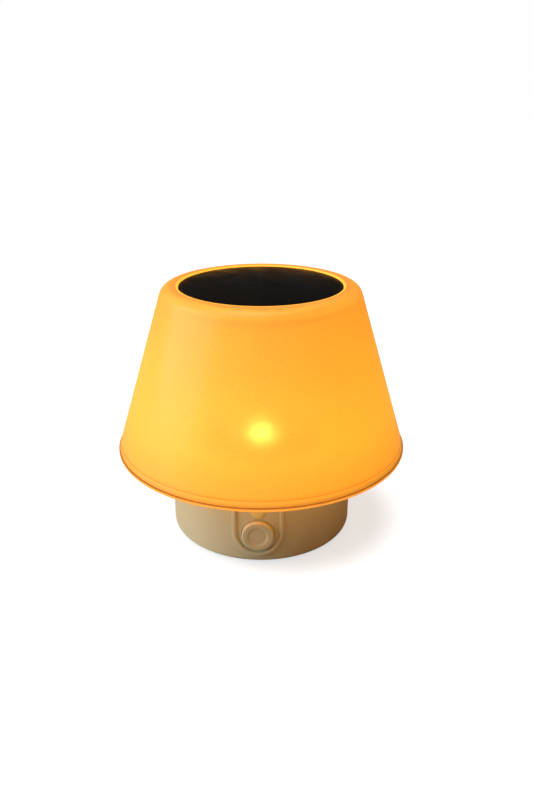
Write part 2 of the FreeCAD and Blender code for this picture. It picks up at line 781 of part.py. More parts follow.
def make_light():
    """Round LED board on the spigot with its emitter, diffusing lens, reflector and screws."""
    board = cylinder("led_board_disc", "dim.led_board_radius", "dim.led_board_thickness", z="at.spigot_top")
    holes = []
    screws = []
    for side in (-1, 1):
        x = f"{side} * dim.led_screw_offset"
        holes.append(cylinder("led_board_hole", "dim.tiny_screw_radius", "dim.led_board_thickness", x, 0,
                              "at.spigot_top"))
        reach = "dim.led_screw_bite + dim.led_board_thickness"
        screws.append(screw("led_screw", "tiny_screw", reach, x, 0,
                            "at.led_board_top + dim.tiny_screw_head_height", DOWN))
    piece(cut("led_board_cut", board, *holes), "led_board")
    piece(group("led_screw_pair", *screws), "led_screws")
    half = "dim.led_emitter_side / 2"
    piece(block("emitter_block", (f"-{half}", f"-{half}", "at.led_board_top"),
                (half, half, "at.led_board_top + dim.led_emitter_height")), "led_emitter")
    dome = doc.addObject("Part::Sphere", "lens_ball")
    bind(dome, Radius="dim.led_lens_radius")
    put(dome, z="at.led_board_top - dim.led_lens_sunk")
    above = cylinder("lens_above", "2 * dim.led_lens_radius", "2 * dim.led_lens_radius",
                     z="at.led_board_top")
    cavity = cylinder("lens_cavity", "at.lens_cavity", "dim.led_emitter_height + dim.slip_clearance",
                      z="at.led_board_top")
    piece(cut("lens_cut", common("lens_dome", dome, above), cavity), "led_lens")
    bore = "dim.led_board_radius + dim.slip_clearance"
    rim = "at.spigot_top + dim.reflector_height"
    reflector = turned("reflector_blank", [
        (bore, "at.spigot_top"),
        ("dim.reflector_foot_radius", "at.spigot_top"),
        ("dim.reflector_radius", rim),
        ("dim.reflector_radius - dim.reflector_wall", rim),
        ("dim.reflector_foot_radius - dim.reflector_wall", "at.spigot_top + dim.reflector_wall"),
        (bore, "at.spigot_top + dim.reflector_wall"),
    ])
    piece(reflector, "reflector")


# ---------------------------------------------------------------- base

def u_prism(name, radius, near, far):
    """Upright U shape, open at the top, between two distances in front of the upright axis."""
    body = doc.addObject("PartDesign::Body", name)
    sketch = sketch_on(body, "XZ_Plane", f"{name}_outline")
    centre = "at.button_height + dim.surround_rise"
    top = "dim.surround_top"
    size = value(radius)
    middle = value(centre)
    height = value(top)
    sketch.addGeometry(Part.LineSegment(vector(size, middle, 0), vector(size, height, 0)))
    sketch.addGeometry(Part.LineSegment(vector(size, height, 0), vector(-size, height, 0)))
    sketch.addGeometry(Part.LineSegment(vector(-size, height, 0), vector(-size, middle, 0)))
    circle = Part.Circle(vector(0, middle, 0), vector(0, 0, 1), size)
    sketch.addGeometry(Part.ArcOfCircle(circle, math.pi, 2 * math.pi))
    for line, after in ((0, 1), (1, 2), (2, 3)):
        sketch.addConstraint(Sketcher.Constraint("Coincident", line, 2, after, 1))
    sketch.addConstraint(Sketcher.Constraint("Coincident", 3, 2, 0, 1))
    sketch.addConstraint(Sketcher.Constraint("Vertical", 0))
    sketch.addConstraint(Sketcher.Constraint("Horizontal", 1))
    sketch.addConstraint(Sketcher.Constraint("Vertical", 2))
    sketch.addConstraint(Sketcher.Constraint("PointOnObject", 3, 3, -2))
    ties = (
        (Sketcher.Constraint("DistanceY", -1, 1, 3, 3, middle), centre),
        (Sketcher.Constraint("DistanceY", -1, 1, 0, 1, middle), centre),
        (Sketcher.Constraint("DistanceY", -1, 1, 0, 2, height), top),
        (Sketcher.Constraint("Radius", 3, size), radius),
    )
    for constraint, expression in ties:
        number = sketch.addConstraint(constraint)
        sketch.setExpression(f"Constraints[{number}]", expression)
    sketch.setExpression("AttachmentOffset.Base.z", near)
    pad = body.newObject("PartDesign::Pad", f"{name}_pad")
    pad.Profile = sketch
    bind(pad, Length=f"({far}) - ({near})")
    doc.recompute()
    return body


def front_cylinder(name, radius, near, far, z, x=0):
    """A cylinder between two distances in front of the upright axis."""
    return cylinder(name, radius, f"({far}) - ({near})", x, f"-({near})", z, TO_FRONT)


def full_height_cylinder(name, radius):
    """An upright cylinder as tall as the base."""
    return cylinder(name, radius, "dim.shade_lift", z="at.base_bottom")


def make_base_shell():
    """Round cup, open below, with the spigot, columns, posts, button seat and port pad."""
    ledge_bore = "at.plate_radius - dim.plate_ledge_width"
    rebate = "at.plate_radius + dim.plate_clearance"
    ledge_top = "at.plate_ledge + dim.plate_ledge_thickness"
    cup = turned("base_blank", [
        (rebate, "at.base_bottom"),
        ("dim.base_radius", "at.base_bottom"),
        ("dim.base_radius", "dim.shade_lift"),
        ("dim.seal_radius + dim.seal_width", "dim.shade_lift"),
        ("dim.seal_radius + dim.seal_width", "dim.shade_lift - dim.seal_depth"),
        ("dim.seal_radius", "dim.shade_lift - dim.seal_depth"),
        ("dim.seal_radius", "dim.shade_lift"),
        ("dim.spigot_radius", "dim.shade_lift"),
        ("dim.spigot_radius", "at.spigot_top"),
        ("dim.led_lead_hole", "at.spigot_top"),
        ("dim.led_lead_hole", "at.base_ceiling"),
        ("at.base_bore", "at.base_ceiling"),
        ("at.base_bore", ledge_top),
        (ledge_bore, ledge_top),
        (ledge_bore, "at.plate_ledge"),
        (rebate, "at.plate_ledge"),
    ])
    round_ring(cup, "dim.base_radius", "at.base_bottom", "dim.base_edge_radius")
    round_ring(cup, "dim.spigot_radius", "at.spigot_top", "dim.lip_edge_radius")
    added = [cup]
    removed = []

    for x, y in around(4, 45, "at.column_circle"):
        added.append(cylinder("column", "dim.column_radius",
                              "at.base_ceiling - at.plate_top + dim.post_root", x, y, "at.plate_top"))
        removed.append(cylinder("column_hole", "dim.plate_screw_radius", "dim.plate_screw_length", x, y,
                                "at.plate_top"))
    for x, y in around(3, 30, "at.shade_screw_circle"):
        removed.append(cylinder("shade_screw_way", "dim.shade_screw_radius + dim.hole_clearance",
                                "dim.base_wall", x, y, "at.base_ceiling"))
    removed.append(cylinder("grommet_way", "dim.grommet_radius", "at.spigot_top - at.base_ceiling", 0,
                            "dim.grommet_back", "at.base_ceiling"))
    for side in (-1, 1):
        removed.append(cylinder("led_screw_way", "dim.tiny_screw_radius", "dim.led_screw_bite",
                                f"{side} * dim.led_screw_offset", 0,
                                "at.spigot_top - dim.led_screw_bite"))
    for x, y in main_post_places():
        added.append(cylinder("main_post", "dim.main_post_radius",
                              "at.base_ceiling - at.main_board_top + dim.post_root", x, y,
                              "at.main_board_top"))
        removed.append(cylinder("main_post_way", "dim.small_screw_radius", "dim.small_screw_bite", x, y,
                                "at.main_board_top"))

    inside = "at.base_bore - 2 * dim.cut_past"
    outside = "dim.base_radius + dim.cut_past"
    surround = cut("surround_pocket",
                   u_prism("surround_pocket_blank", "dim.surround_radius",
                           "at.surround_seat - dim.cut_depth", outside),
                   full_height_cylinder("surround_pocket_core", "at.surround_seat"))
    removed.append(surround)
    removed.append(front_cylinder("button_way", "dim.button_radius + dim.button_clearance",
                                  inside, outside, "at.button_height"))
    removed.append(front_cylinder("indicator_way", "dim.indicator_radius + dim.indicator_clearance",
                                  inside, outside, "at.indicator_height"))
    for x, z in control_post_places():
        added.append(front_cylinder("control_post", "dim.control_post_radius", "at.control_board_face",
                                    "at.surround_seat - dim.post_root", z, x))
        removed.append(front_cylinder("control_post_way", "dim.small_screw_radius", "at.control_board_face",
                                      "at.control_board_face + dim.small_screw_bite", z, x))

    pad_low = ("-dim.port_pad_width / 2", "at.port_pad_back", "at.recess_bottom - dim.port_pad_drop")
    pad_high = ("dim.port_pad_width / 2", "at.base_bore + dim.post_root",
                "at.recess_top + dim.port_pad_rise")
    added.append(block("port_pad", pad_low, pad_high))
    half = "at.recess_width / 2"
    removed.append(block("cover_recess", (f"-{half}", "at.port_face", "at.recess_bottom"),
                         (half, outside, "at.recess_top")))
    scoop = doc.addObject("Part::Sphere", "finger_scoop")
    bind(scoop, Radius="dim.cover_tip_scoop")
    put(scoop, 0, "dim.base_radius + dim.cover_scoop_out", "at.recess_top + dim.cover_scoop_rise")
    removed.append(scoop)
    clearance = "dim.port_hole_clearance"
    removed.append(port_prism("port_way", f"dim.port_width + 2 * {clearance}",
                              f"dim.port_thickness + 2 * {clearance}",
                              "at.port_pad_back - dim.cut_past", "at.port_face + dim.cut_past"))
    removed.append(cylinder("hinge_pin_way", "dim.hinge_pin_radius",
                            "at.recess_width + 2 * dim.hinge_pin_grip",
                            f"-{half} - dim.hinge_pin_grip", "at.hinge_back", "at.hinge_height", TO_RIGHT))
    for side in (-1, 1):
        x = f"{side} * dim.port_post_offset"
        added.append(cylinder("port_post", "dim.port_post_radius",
                              "at.port_pad_back - at.port_back + dim.post_root", x, "at.port_back",
                              "dim.port_height", TO_BACK))
        removed.append(cylinder("port_post_way", "dim.small_screw_radius", "dim.small_screw_bite", x,
                                "at.port_back", "dim.port_height", TO_BACK))
    piece(cut("base_cut", fused("base_solid", *added), *removed), "base_shell")


def make_base_plate():
    """Screwed-on underside with its gasket, rubber foot ring and four sunk screws."""
    groove_top = "at.base_bottom + dim.foot_sunk"
    plate = turned("plate_blank", [
        ("0", "at.base_bottom"),
        ("at.foot_inner", "at.base_bottom"),
        ("at.foot_inner", groove_top),
        ("at.foot_outer", groove_top),
        ("at.foot_outer", "at.base_bottom"),
        ("at.plate_radius", "at.base_bottom"),
        ("at.plate_radius", "at.plate_top"),
        ("0", "at.plate_top"),
    ])
    holes = []
    screws = []
    for x, y in around(4, 45, "at.column_circle"):
        holes.append(cylinder("plate_hole", "dim.plate_screw_radius + dim.hole_clearance / 2",
                              "dim.plate_thickness", x, y, "at.base_bottom"))
        holes.append(cylinder("plate_sink", "dim.plate_screw_head_radius + dim.hole_clearance",
                              "at.plate_screw_head_top - at.base_bottom", x, y, "at.base_bottom"))
        reach = "at.plate_top - at.plate_screw_head_top + dim.plate_screw_length - dim.slip_clearance"
        screws.append(screw("plate_screw", "plate_screw", reach, x, y,
                            "at.plate_screw_head_top - dim.plate_screw_head_height", UPRIGHT))
    piece(cut("plate_cut", plate, *holes), "base_plate")
    piece(group("plate_screw_set", *screws), "base_plate_screws")
    gasket = turned("plate_gasket_blank", ring_outline("at.plate_radius - dim.plate_gasket_width",
                                                       "at.plate_radius", "at.plate_top",
                                                       "at.plate_ledge"))
    piece(gasket, "base_gasket")
    foot = turned("foot_blank", ring_outline("at.foot_inner", "at.foot_outer", "0", groove_top))
    round_ring(foot, "at.foot_inner", "0", "dim.foot_proud / 2")
    round_ring(foot, "at.foot_outer", "0", "dim.foot_proud / 2")
    piece(foot, "foot_ring")


def ring_outline(inner, outer, low, high):
    """Corners of a plain ring's section."""
    return [(inner, low), (outer, low), (outer, high), (inner, high)]


def make_shade_fixings():
    """Seal between base and shade, and the three screws that hold them together."""
    seal = turned("seal_blank", ring_outline("dim.seal_radius", "dim.seal_radius + dim.seal_width",
                                             "dim.shade_lift - dim.seal_depth", "dim.shade_lift"))
    piece(seal, "shade_seal")
    screws = []
    for x, y in around(3, 30, "at.shade_screw_circle"):
        reach = "dim.base_wall + dim.shade_screw_reach - dim.slip_clearance"
        screws.append(screw("shade_screw", "shade_screw", reach, x, y,
                            "at.base_ceiling - dim.shade_screw_head_height", UPRIGHT))
    piece(group("shade_screw_set", *screws), "shade_screws")


# ---------------------------------------------------------------- button and indicator

def make_surround():
    """Plate let into the base's front with a raised U-shaped rib round the button."""
    outer = "dim.surround_radius"
    inner = "dim.surround_radius - dim.surround_rib_width"
    near = "at.surround_seat - dim.cut_depth"
    far = "dim.base_radius + 2 * dim.cut_past"
    plate = common("surround_plate", u_prism("surround_plate_u", outer, near, far),
                   full_height_cylinder("surround_plate_outside", "dim.base_radius"))
    rib_outside = full_height_cylinder("surround_rib_outside", "dim.base_radius + dim.surround_rib_proud")
    rib = cut("surround_rib", common("surround_rib_blank", u_prism("surround_rib_u", outer, near, far),
                                     rib_outside),
              u_prism("surround_rib_inside", inner, near, far))
    solid = cut("surround_hollow", fused("surround_solid", plate, rib),
                full_height_cylinder("surround_core", "at.surround_seat"))
    finished = cut("surround_cut", solid,
                   front_cylinder("surround_button_way", "dim.button_radius + dim.button_clearance",
                                  near, far, "at.button_height"),
                   front_cylinder("surround_indicator_way",
                                  "dim.indicator_radius + dim.indicator_clearance", near, far,
                                  "at.indicator_height"))
    piece(finished, "control_surround")


def make_button():
    """Domed push button with a centre dish, a flange behind the wall and a short stem."""
    crown = "at.button_crest - dim.button_crown"
    dish = "at.button_crest - dim.button_dish_depth"
    button = turned("button_blank", [
        ("0", "at.plunger_front"),
        ("dim.button_stem_radius", "at.plunger_front"),
        ("dim.button_stem_radius", "at.button_flange_back"),
        ("at.button_flange_radius", "at.button_flange_back"),
        ("at.button_flange_radius", "at.button_flange_back + dim.button_flange_thickness"),
        ("dim.button_radius", "at.button_flange_back + dim.button_flange_thickness"),
        ("dim.button_radius", crown),
        ("dim.button_radius - dim.button_crown_width", "at.button_crest"),
        ("dim.button_dish_radius + dim.button_dish_depth / 2", "at.button_crest"),
        ("dim.button_dish_radius - dim.button_dish_depth / 2", dish),
        ("0", dish),
    ], turn=TO_FRONT, z="at.button_height")
    round_ring(button, "dim.button_radius", crown, "dim.button_edge_radius")
    piece(button, "power_button")
    plunger = front_cylinder("plunger_rod", "dim.button_stem_radius", "at.plunger_back", "at.plunger_front",
                             "at.button_height")
    piece(plunger, "switch_plunger")


def make_switch():
    """Switch body on the control board and the rubber boot that returns and seals the button."""
    half = "dim.switch_side / 2"
    body = block("switch_block", (f"-{half}", "-at.switch_front", f"at.button_height - {half}"),
                 (half, "-at.control_board_face", f"at.button_height + {half}"))
    way = front_cylinder("switch_way", "dim.button_stem_radius + dim.plunger_clearance",
                         "at.plunger_back - dim.button_travel - dim.plunger_stop", "at.switch_front",
                         "at.button_height")
    piece(cut("switch_cut", body, way), "tact_switch")
    foot = "at.control_board_face"
    foot_front = f"{foot} + dim.boot_foot_height"
    step = "dim.boot_foot_radius - dim.boot_foot_step"
    boot = turned("boot_blank", [
        (f"{step} - dim.boot_wall", foot),
        ("dim.boot_foot_radius", foot),
        ("dim.boot_foot_radius", foot_front),
        (step, foot_front),
        ("dim.boot_top_radius", "at.button_flange_back"),
        ("dim.boot_top_radius - dim.boot_wall", "at.button_flange_back"),
        (f"{step} - dim.boot_wall", foot_front),
    ], turn=TO_FRONT, z="at.button_height")
    piece(boot, "button_boot")


def make_indicator():
    """Small domed lens above the button and the LED behind it."""
    front = "dim.base_radius + dim.indicator_proud"
    flange = "dim.indicator_radius + dim.indicator_flange_width"
    lens = turned("indicator_blank", [
        ("0", "at.indicator_flange_front - dim.indicator_flange_thickness"),
        (flange, "at.indicator_flange_front - dim.indicator_flange_thickness"),
        (flange, "at.indicator_flange_front"),
        ("dim.indicator_radius", "at.indicator_flange_front"),
        ("dim.indicator_radius", front),
        ("0", front),
    ], turn=TO_FRONT, z="at.indicator_height")
    round_ring(lens, "dim.indicator_radius", front, "dim.indicator_dome")
    piece(lens, "indicator_lens")
    half = "dim.indicator_led_side / 2"
    led = block("indicator_led_block",
                (f"-{half}", "-at.control_board_face - dim.indicator_led_height",
                 f"at.indicator_height - {half}"),
                (half, "-at.control_board_face", f"at.indicator_height + {half}"))
    piece(led, "indicator_led")


def control_post_places():
    """The (x, z) places of the four posts that carry the control board."""
    low = "dim.control_board_bottom + dim.control_post_inset"
    high = "dim.control_board_top - dim.control_post_inset"
    return [(f"{side} * dim.control_post_offset", level) for side in (-1, 1) for level in (low, high)]


def make_control_board():
    """Upright board behind the button, with its four screws."""
    half = "dim.control_board_width / 2"
    board = block("control_board_block", (f"-{half}", "-at.control_board_face", "dim.control_board_bottom"),
                  (half, "-at.control_board_back", "dim.control_board_top"))
    holes = []
    screws = []
    for x, z in control_post_places():
        holes.append(front_cylinder("control_hole", "dim.small_screw_radius", "at.control_board_back",
                                    "at.control_board_face", z, x))
        reach = "dim.control_board_thickness + dim.small_screw_bite - dim.slip_clearance"
        screws.append(screw("control_screw", "small_screw", reach, x,
                            "-(at.control_board_back - dim.small_screw_head_height)", z, TO_FRONT))
    piece(cut("control_board_cut", board, *holes), "control_board")
    piece(group("control_screw_set", *screws), "control_board_screws")


# ---------------------------------------------------------------- cell and boards

def make_cell():
    """Round lithium cell lying across the base in a cradle with a leaf contact at each end."""
    can_half = "dim.cell_length / 2 - dim.terminal_height"
    can = cylinder("cell_can", "dim.cell_radius", f"2 * ({can_half}) + dim.terminal_height",
                   f"-({can_half}) - dim.terminal_height", "dim.cell_centre_back", "at.cell_level",
                   TO_RIGHT)
    tip = cylinder("cell_tip", "dim.terminal_radius", "dim.terminal_height", can_half,
                   "dim.cell_centre_back", "at.cell_level", TO_RIGHT)
    piece(fused("cell_solid", can, tip), "battery_cell")

    reach = "dim.cell_length / 2 + dim.contact_thickness"
    side = "dim.cell_radius + dim.cradle_clearance + dim.cradle_wall"
    low = (f"-({reach} + dim.cradle_wall)", f"dim.cell_centre_back - ({side})", "at.plate_top")
    high = (f"{reach} + dim.cradle_wall", f"dim.cell_centre_back + {side}",
            "at.plate_top + dim.cradle_height")
    trough = cylinder("cradle_trough", "dim.cell_radius + dim.cradle_clearance", f"2 * ({reach})",
                      f"-({reach})", "dim.cell_centre_back", "at.cell_level", TO_RIGHT)
    slots = []
    contacts = []
    for end in (-1, 1):
        inner = f"{end} * dim.cell_length / 2"
        outer = f"{end} * ({reach})"
        low_x, high_x = (outer, inner) if end < 0 else (inner, outer)
        half_width = "dim.contact_width / 2"
        slot_low = (low_x, f"dim.cell_centre_back - {half_width}", "at.plate_top + dim.cradle_floor")
        slot_high = (high_x, f"dim.cell_centre_back + {half_width}", "at.contact_top")
        contacts.append(block("contact_leaf", slot_low, slot_high))
        slots.append(block("contact_slot", slot_low, slot_high))
    piece(cut("cradle_cut", block("cradle_block", low, high), trough, *slots), "battery_cradle")
    piece(group("contact_pair", *contacts), "battery_contacts")


def main_post_places():
    """The (x, y) places of the four posts that carry the main board."""
    across = "dim.main_board_width / 2 - dim.main_post_inset"
    along = "dim.main_board_depth / 2 - dim.main_post_inset"
    return [(f"{side} * ({across})", f"dim.main_board_back + {end} * ({along})")
            for side in (-1, 1) for end in (-1, 1)]


def make_main_board():
    """Charge and drive board hung under the base's ceiling, with its parts and screws."""
    half = "dim.main_board_width / 2"
    front = "dim.main_board_back - dim.main_board_depth / 2"
    back = "dim.main_board_back + dim.main_board_depth / 2"
    board = block("main_board_block", (f"-{half}", front, "at.main_board_level"),
                  (half, back, "at.main_board_top"))
    holes = []
    screws = []
    for x, y in main_post_places():
        holes.append(cylinder("main_hole", "dim.small_screw_radius", "dim.main_board_thickness", x, y,
                              "at.main_board_level"))
        reach = "dim.main_board_thickness + dim.small_screw_bite - dim.slip_clearance"
        screws.append(screw("main_screw", "small_screw", reach, x, y,
                            "at.main_board_level - dim.small_screw_head_height", UPRIGHT))
    piece(cut("main_board_cut", board, *holes), "main_board")
    piece(group("main_screw_set", *screws), "main_board_screws")
    piece(hung_part("chip", "dim.chip_side", "dim.chip_height", "-dim.chip_left",
                    "dim.main_board_back - dim.chip_front"), "controller_chip")
    piece(hung_part("inductor", "dim.inductor_side", "dim.inductor_height", "dim.inductor_right",
                    "dim.main_board_back - dim.inductor_front"), "charge_inductor")
    sockets = [
        standing_socket("led_socket", "0", "0"),
        standing_socket("panel_socket", "0", "dim.grommet_back"),
        standing_socket("battery_socket", f"{BATTERY_LEAD_ROUTE[-1][0]} + dim.socket_width / 2",
                        f"{BATTERY_LEAD_ROUTE[-1][1]}"),
        standing_socket("switch_socket", f"{SWITCH_LEAD_ROUTE[-1][0]}",
                        f"{SWITCH_LEAD_ROUTE[-1][1]} + dim.socket_depth / 2"),
        standing_socket("port_socket", f"{PORT_LEAD_ROUTE[-1][0]} - dim.port_socket_left",
                        f"{PORT_LEAD_ROUTE[-1][1]} - dim.socket_depth / 2"),
    ]
    piece(group("socket_set", *sockets), "board_sockets")


def hung_part(name, side, height, x, y):
    """A square part soldered to the underside of the main board."""
    low = (f"{x} - {side} / 2", f"{y} - {side} / 2", f"at.main_board_level - {height}")
    high = (f"{x} + {side} / 2", f"{y} + {side} / 2", "at.main_board_level")
    return block(f"{name}_block", low, high)


def standing_socket(name, x, y):
    """A lead socket on top of the main board."""
    return block(name, (f"{x} - dim.socket_width / 2", f"{y} - dim.socket_depth / 2", "at.main_board_top"),
                 (f"{x} + dim.socket_width / 2", f"{y} + dim.socket_depth / 2",
                  "at.main_board_top + dim.socket_height"))


# ---------------------------------------------------------------- charging port

def port_prism(name, width, thickness, near, far):
    """A flat rounded prism lying along Y, of a port's outline, between two distances behind."""
    reach = f"({width}) / 2 - ({thickness}) / 2"
    length = f"({far}) - ({near})"
    middle = block(f"{name}_middle", (f"-({reach})", near, f"dim.port_height - ({thickness}) / 2"),
                   (reach, far, f"dim.port_height + ({thickness}) / 2"))
    ends = [cylinder(f"{name}_end", f"({thickness}) / 2", length, f"{side} * ({reach})", near,
                     "dim.port_height", TO_BACK) for side in (-1, 1)]
    return fused(name, middle, *ends)


def make_port():
    """Metal charging port with its contact tongue, on a small upright board with two screws."""
    wall = "dim.port_shell_wall"
    shell = port_prism("port_outer", "dim.port_width", "dim.port_thickness", "at.port_back", "at.port_face")
    mouth = port_prism("port_mouth", f"dim.port_width - 2 * {wall}", f"dim.port_thickness - 2 * {wall}",
                       "at.port_back + dim.port_shell_back", "at.port_face + dim.cut_past")
    tongue_half = "dim.port_width / 2 - dim.port_tongue_side"
    tongue = block("port_tongue", (f"-({tongue_half})", f"at.port_back + {wall}",
                                   "dim.port_height - dim.port_tongue_thickness / 2"),
                   (tongue_half, "at.port_face - dim.port_tongue_back",
                    "dim.port_height + dim.port_tongue_thickness / 2"))
    piece(fused("port_solid", cut("port_cut", shell, mouth), tongue), "charge_port")

    half = "dim.port_board_width / 2"
    board = block("port_board_block", (f"-{half}", "at.port_board_face",
                                       "dim.port_height - dim.port_board_height / 2"),
                  (half, "at.port_back", "dim.port_height + dim.port_board_height / 2"))
    holes = []
    screws = []
    for side in (-1, 1):
        x = f"{side} * dim.port_post_offset"
        holes.append(cylinder("port_board_hole", "dim.small_screw_radius", "dim.port_board_thickness", x,
                              "at.port_board_face", "dim.port_height", TO_BACK))
        reach = "dim.port_board_thickness + dim.small_screw_bite - dim.slip_clearance"
        screws.append(screw("port_screw", "small_screw", reach, x,
                            "at.port_board_face - dim.small_screw_head_height", "dim.port_height", TO_BACK))
    piece(cut("port_board_cut", board, *holes), "port_board")
    piece(group("port_screw_pair", *screws), "port_board_screws")


def make_port_cover():
    """Rubber flap that follows the base's curve, with a bead on a steel pin and a locating plug."""
    half = "dim.cover_width / 2"
    inner_face = "dim.base_radius - dim.cover_thickness"
    slab = block("cover_slab", (f"-{half}", inner_face, "at.hinge_height"),
                 (half, "dim.base_radius + dim.cut_past", "at.cover_top"))
    skin = common("cover_skin", slab, full_height_cylinder("cover_outside", "dim.base_radius"))
    bead = common("cover_bead",
                  cylinder("cover_bead_rod", "dim.hinge_bead_radius", "dim.cover_width", f"-{half}",
                           "at.hinge_back", "at.hinge_height", TO_RIGHT),
                  full_height_cylinder("cover_bead_outside", "dim.base_radius"))
    plug = port_prism("cover_plug", "dim.cover_plug_width", "dim.cover_plug_height",
                      f"{inner_face} - dim.cover_plug_depth", f"{inner_face} + dim.post_root")
    bore = cylinder("cover_bore", "dim.hinge_pin_radius + dim.hinge_pin_clearance", "dim.cover_width",
                    f"-{half}", "at.hinge_back", "at.hinge_height", TO_RIGHT)
    piece(cut("cover_cut", fused("cover_solid", skin, bead, plug), bore), "port_cover")
    pin = cylinder("hinge_pin_rod", "dim.hinge_pin_radius",
                   "at.recess_width + 2 * dim.hinge_pin_grip",
                   "-at.recess_width / 2 - dim.hinge_pin_grip", "at.hinge_back", "at.hinge_height",
                   TO_RIGHT)
    piece(pin, "port_hinge_pin")


# ---------------------------------------------------------------- building, checking and writing

def check_objects():
    """Stops if any object failed or any sub-part's shape is missing or broken."""
    for thing in doc.Objects:
        if "Invalid" in thing.State or "Error" in thing.State:
            raise RuntimeError(f"{thing.Name} failed: {thing.State}")
    for thing in pieces:
        if thing.Shape.isNull() or not thing.Shape.isValid() or not thing.Shape.Solids:
            raise RuntimeError(f"{thing.Label} has no valid solid")


def write_parts():
    """One STEP file to a sub-part, named by its label."""
    os.makedirs("parts", exist_ok=True)
    for thing in pieces:
        thing.Shape.exportStep(os.path.join("parts", f"{thing.Label}.step"))
        print(f"{thing.Label}: {len(thing.Shape.Solids)} solids, {thing.Shape.Volume:.1f} mm3")


make_shade_shell()
make_shade_floor()
make_panel()
make_panel_tray()
make_leads()
make_lead_clips()
make_grommet()
make_light()
make_base_shell()
make_base_plate()
make_shade_fixings()
make_surround()
make_button()
make_switch()
make_indicator()
make_control_board()
make_cell()
make_main_board()
make_port()
make_port_cover()
doc.recompute()
check_objects()
write_parts()
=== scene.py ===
import json
import math

import bmesh
import bpy
from bpy.props import FloatProperty, FloatVectorProperty, IntProperty, PointerProperty
from mathutils import Matrix, Vector


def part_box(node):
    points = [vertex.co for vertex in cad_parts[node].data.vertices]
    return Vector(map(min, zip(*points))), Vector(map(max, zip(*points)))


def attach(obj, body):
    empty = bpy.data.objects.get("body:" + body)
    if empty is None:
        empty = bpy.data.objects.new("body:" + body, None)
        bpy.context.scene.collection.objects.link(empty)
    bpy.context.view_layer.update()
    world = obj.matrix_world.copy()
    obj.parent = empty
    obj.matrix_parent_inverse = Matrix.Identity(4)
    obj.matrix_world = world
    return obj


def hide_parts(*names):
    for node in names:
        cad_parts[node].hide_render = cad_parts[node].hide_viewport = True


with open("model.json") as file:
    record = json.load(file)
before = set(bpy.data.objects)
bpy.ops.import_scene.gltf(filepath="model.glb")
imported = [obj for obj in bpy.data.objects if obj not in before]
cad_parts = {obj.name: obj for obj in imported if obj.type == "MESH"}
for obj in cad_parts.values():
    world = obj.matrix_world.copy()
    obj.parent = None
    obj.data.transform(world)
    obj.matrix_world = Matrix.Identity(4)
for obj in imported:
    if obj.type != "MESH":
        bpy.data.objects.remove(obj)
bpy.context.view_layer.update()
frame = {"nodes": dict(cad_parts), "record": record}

bl_info = {
    "name": "Solar Lantern",
    "version": (1, 0, 0),
    "blender": (4, 5, 0),
    "location": "View3D > Sidebar > Lantern",
    "description": "Finishes a solar table lantern around its engineering model",
    "category": "Object",
}

NODES = frame["nodes"]
LANTERN = "lantern"
BUTTON = "button"
PORT_FLAP = "port_flap"

# Fine clearances and cuts, in metres.
BUTTON_FLANGE = 0.0011
BUTTON_CLEARANCE = 0.0003
INDICATOR_FLANGE = 0.0007
INDICATOR_CLEARANCE = 0.0001
PARTING_GAP = 0.0004
GROOVE_WIDTH = 0.0004
CUT_PAST = 0.004


# ------------------------------------------------------------------ places read from the frame

def top_of(node):
    """Highest level of a CAD node."""
    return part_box(node)[1].z


def bottom_of(node):
    """Lowest level of a CAD node."""
    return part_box(node)[0].z


def radius_of(node):
    """Half the width across X of a CAD node that is round about the upright axis."""
    low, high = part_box(node)
    return (high.x - low.x) / 2


def middle_of(node):
    """Centre of a CAD node's box."""
    low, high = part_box(node)
    return (low + high) / 2


RIM_RADIUS = radius_of("shade_floor")
SHADE_TOP = top_of("shade_shell")
SHADE_SEAT = bottom_of("shade_shell")
SHADE_UNDERSIDE = bottom_of("shade_floor")
BASE_RADIUS = radius_of("base_shell")
BASE_BOTTOM = bottom_of("base_shell")
PANEL_RADIUS = radius_of("panel_glass")
GLASS_TOP = top_of("panel_glass")
LEDGE_TOP = bottom_of("panel_gasket")
LED_LEVEL = (bottom_of("led_lens") + top_of("led_lens")) / 2
BUTTON_HEIGHT = middle_of("power_button").z
BUTTON_CREST = -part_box("power_button")[0].y
BUTTON_BACK = -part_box("power_button")[1].y
BUTTON_FLANGE_RADIUS = radius_of("power_button")
BUTTON_RADIUS = BUTTON_FLANGE_RADIUS - BUTTON_FLANGE
INDICATOR_HEIGHT = middle_of("indicator_lens").z
INDICATOR_FRONT = -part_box("indicator_lens")[0].y
INDICATOR_BACK = -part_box("indicator_lens")[1].y
INDICATOR_FLANGE_RADIUS = radius_of("indicator_lens")
INDICATOR_RADIUS = INDICATOR_FLANGE_RADIUS - INDICATOR_FLANGE
SURROUND_RADIUS = radius_of("control_surround")
SURROUND_TOP = top_of("control_surround")
SURROUND_CENTRE = bottom_of("control_surround") + SURROUND_RADIUS
# Spans of the painted bright glow on the lip round the panel and of the painted shadow of the
# panel's tray.
LIP_GLOW_SPAN = (PANEL_RADIUS + 0.0009, PANEL_RADIUS + 0.0014)
TRAY_SHADOW_SPAN = (PANEL_RADIUS + 0.0015, PANEL_RADIUS + 0.0065)
PORT_HEIGHT = middle_of("charge_port").z
PORT_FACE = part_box("charge_port")[1].y
COVER_LOW, COVER_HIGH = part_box("port_cover")
HINGE = middle_of("port_hinge_pin")
HINGE_PIN_RADIUS = top_of("port_hinge_pin") - HINGE.z


# ------------------------------------------------------------------ settings

def length_setting(name, description, default):
    """A size in metres."""
    return FloatProperty(name=name, description=description, default=default, unit="LENGTH")


def share_setting(name, description, default):
    """An amount between none and all."""
    return FloatProperty(
        name=name, description=description, subtype="FACTOR", default=default, min=0, max=1)


def strength_setting(name, description, default, **extra):
    """A brightness or power."""
    return FloatProperty(name=name, description=description, default=default, min=0, **extra)


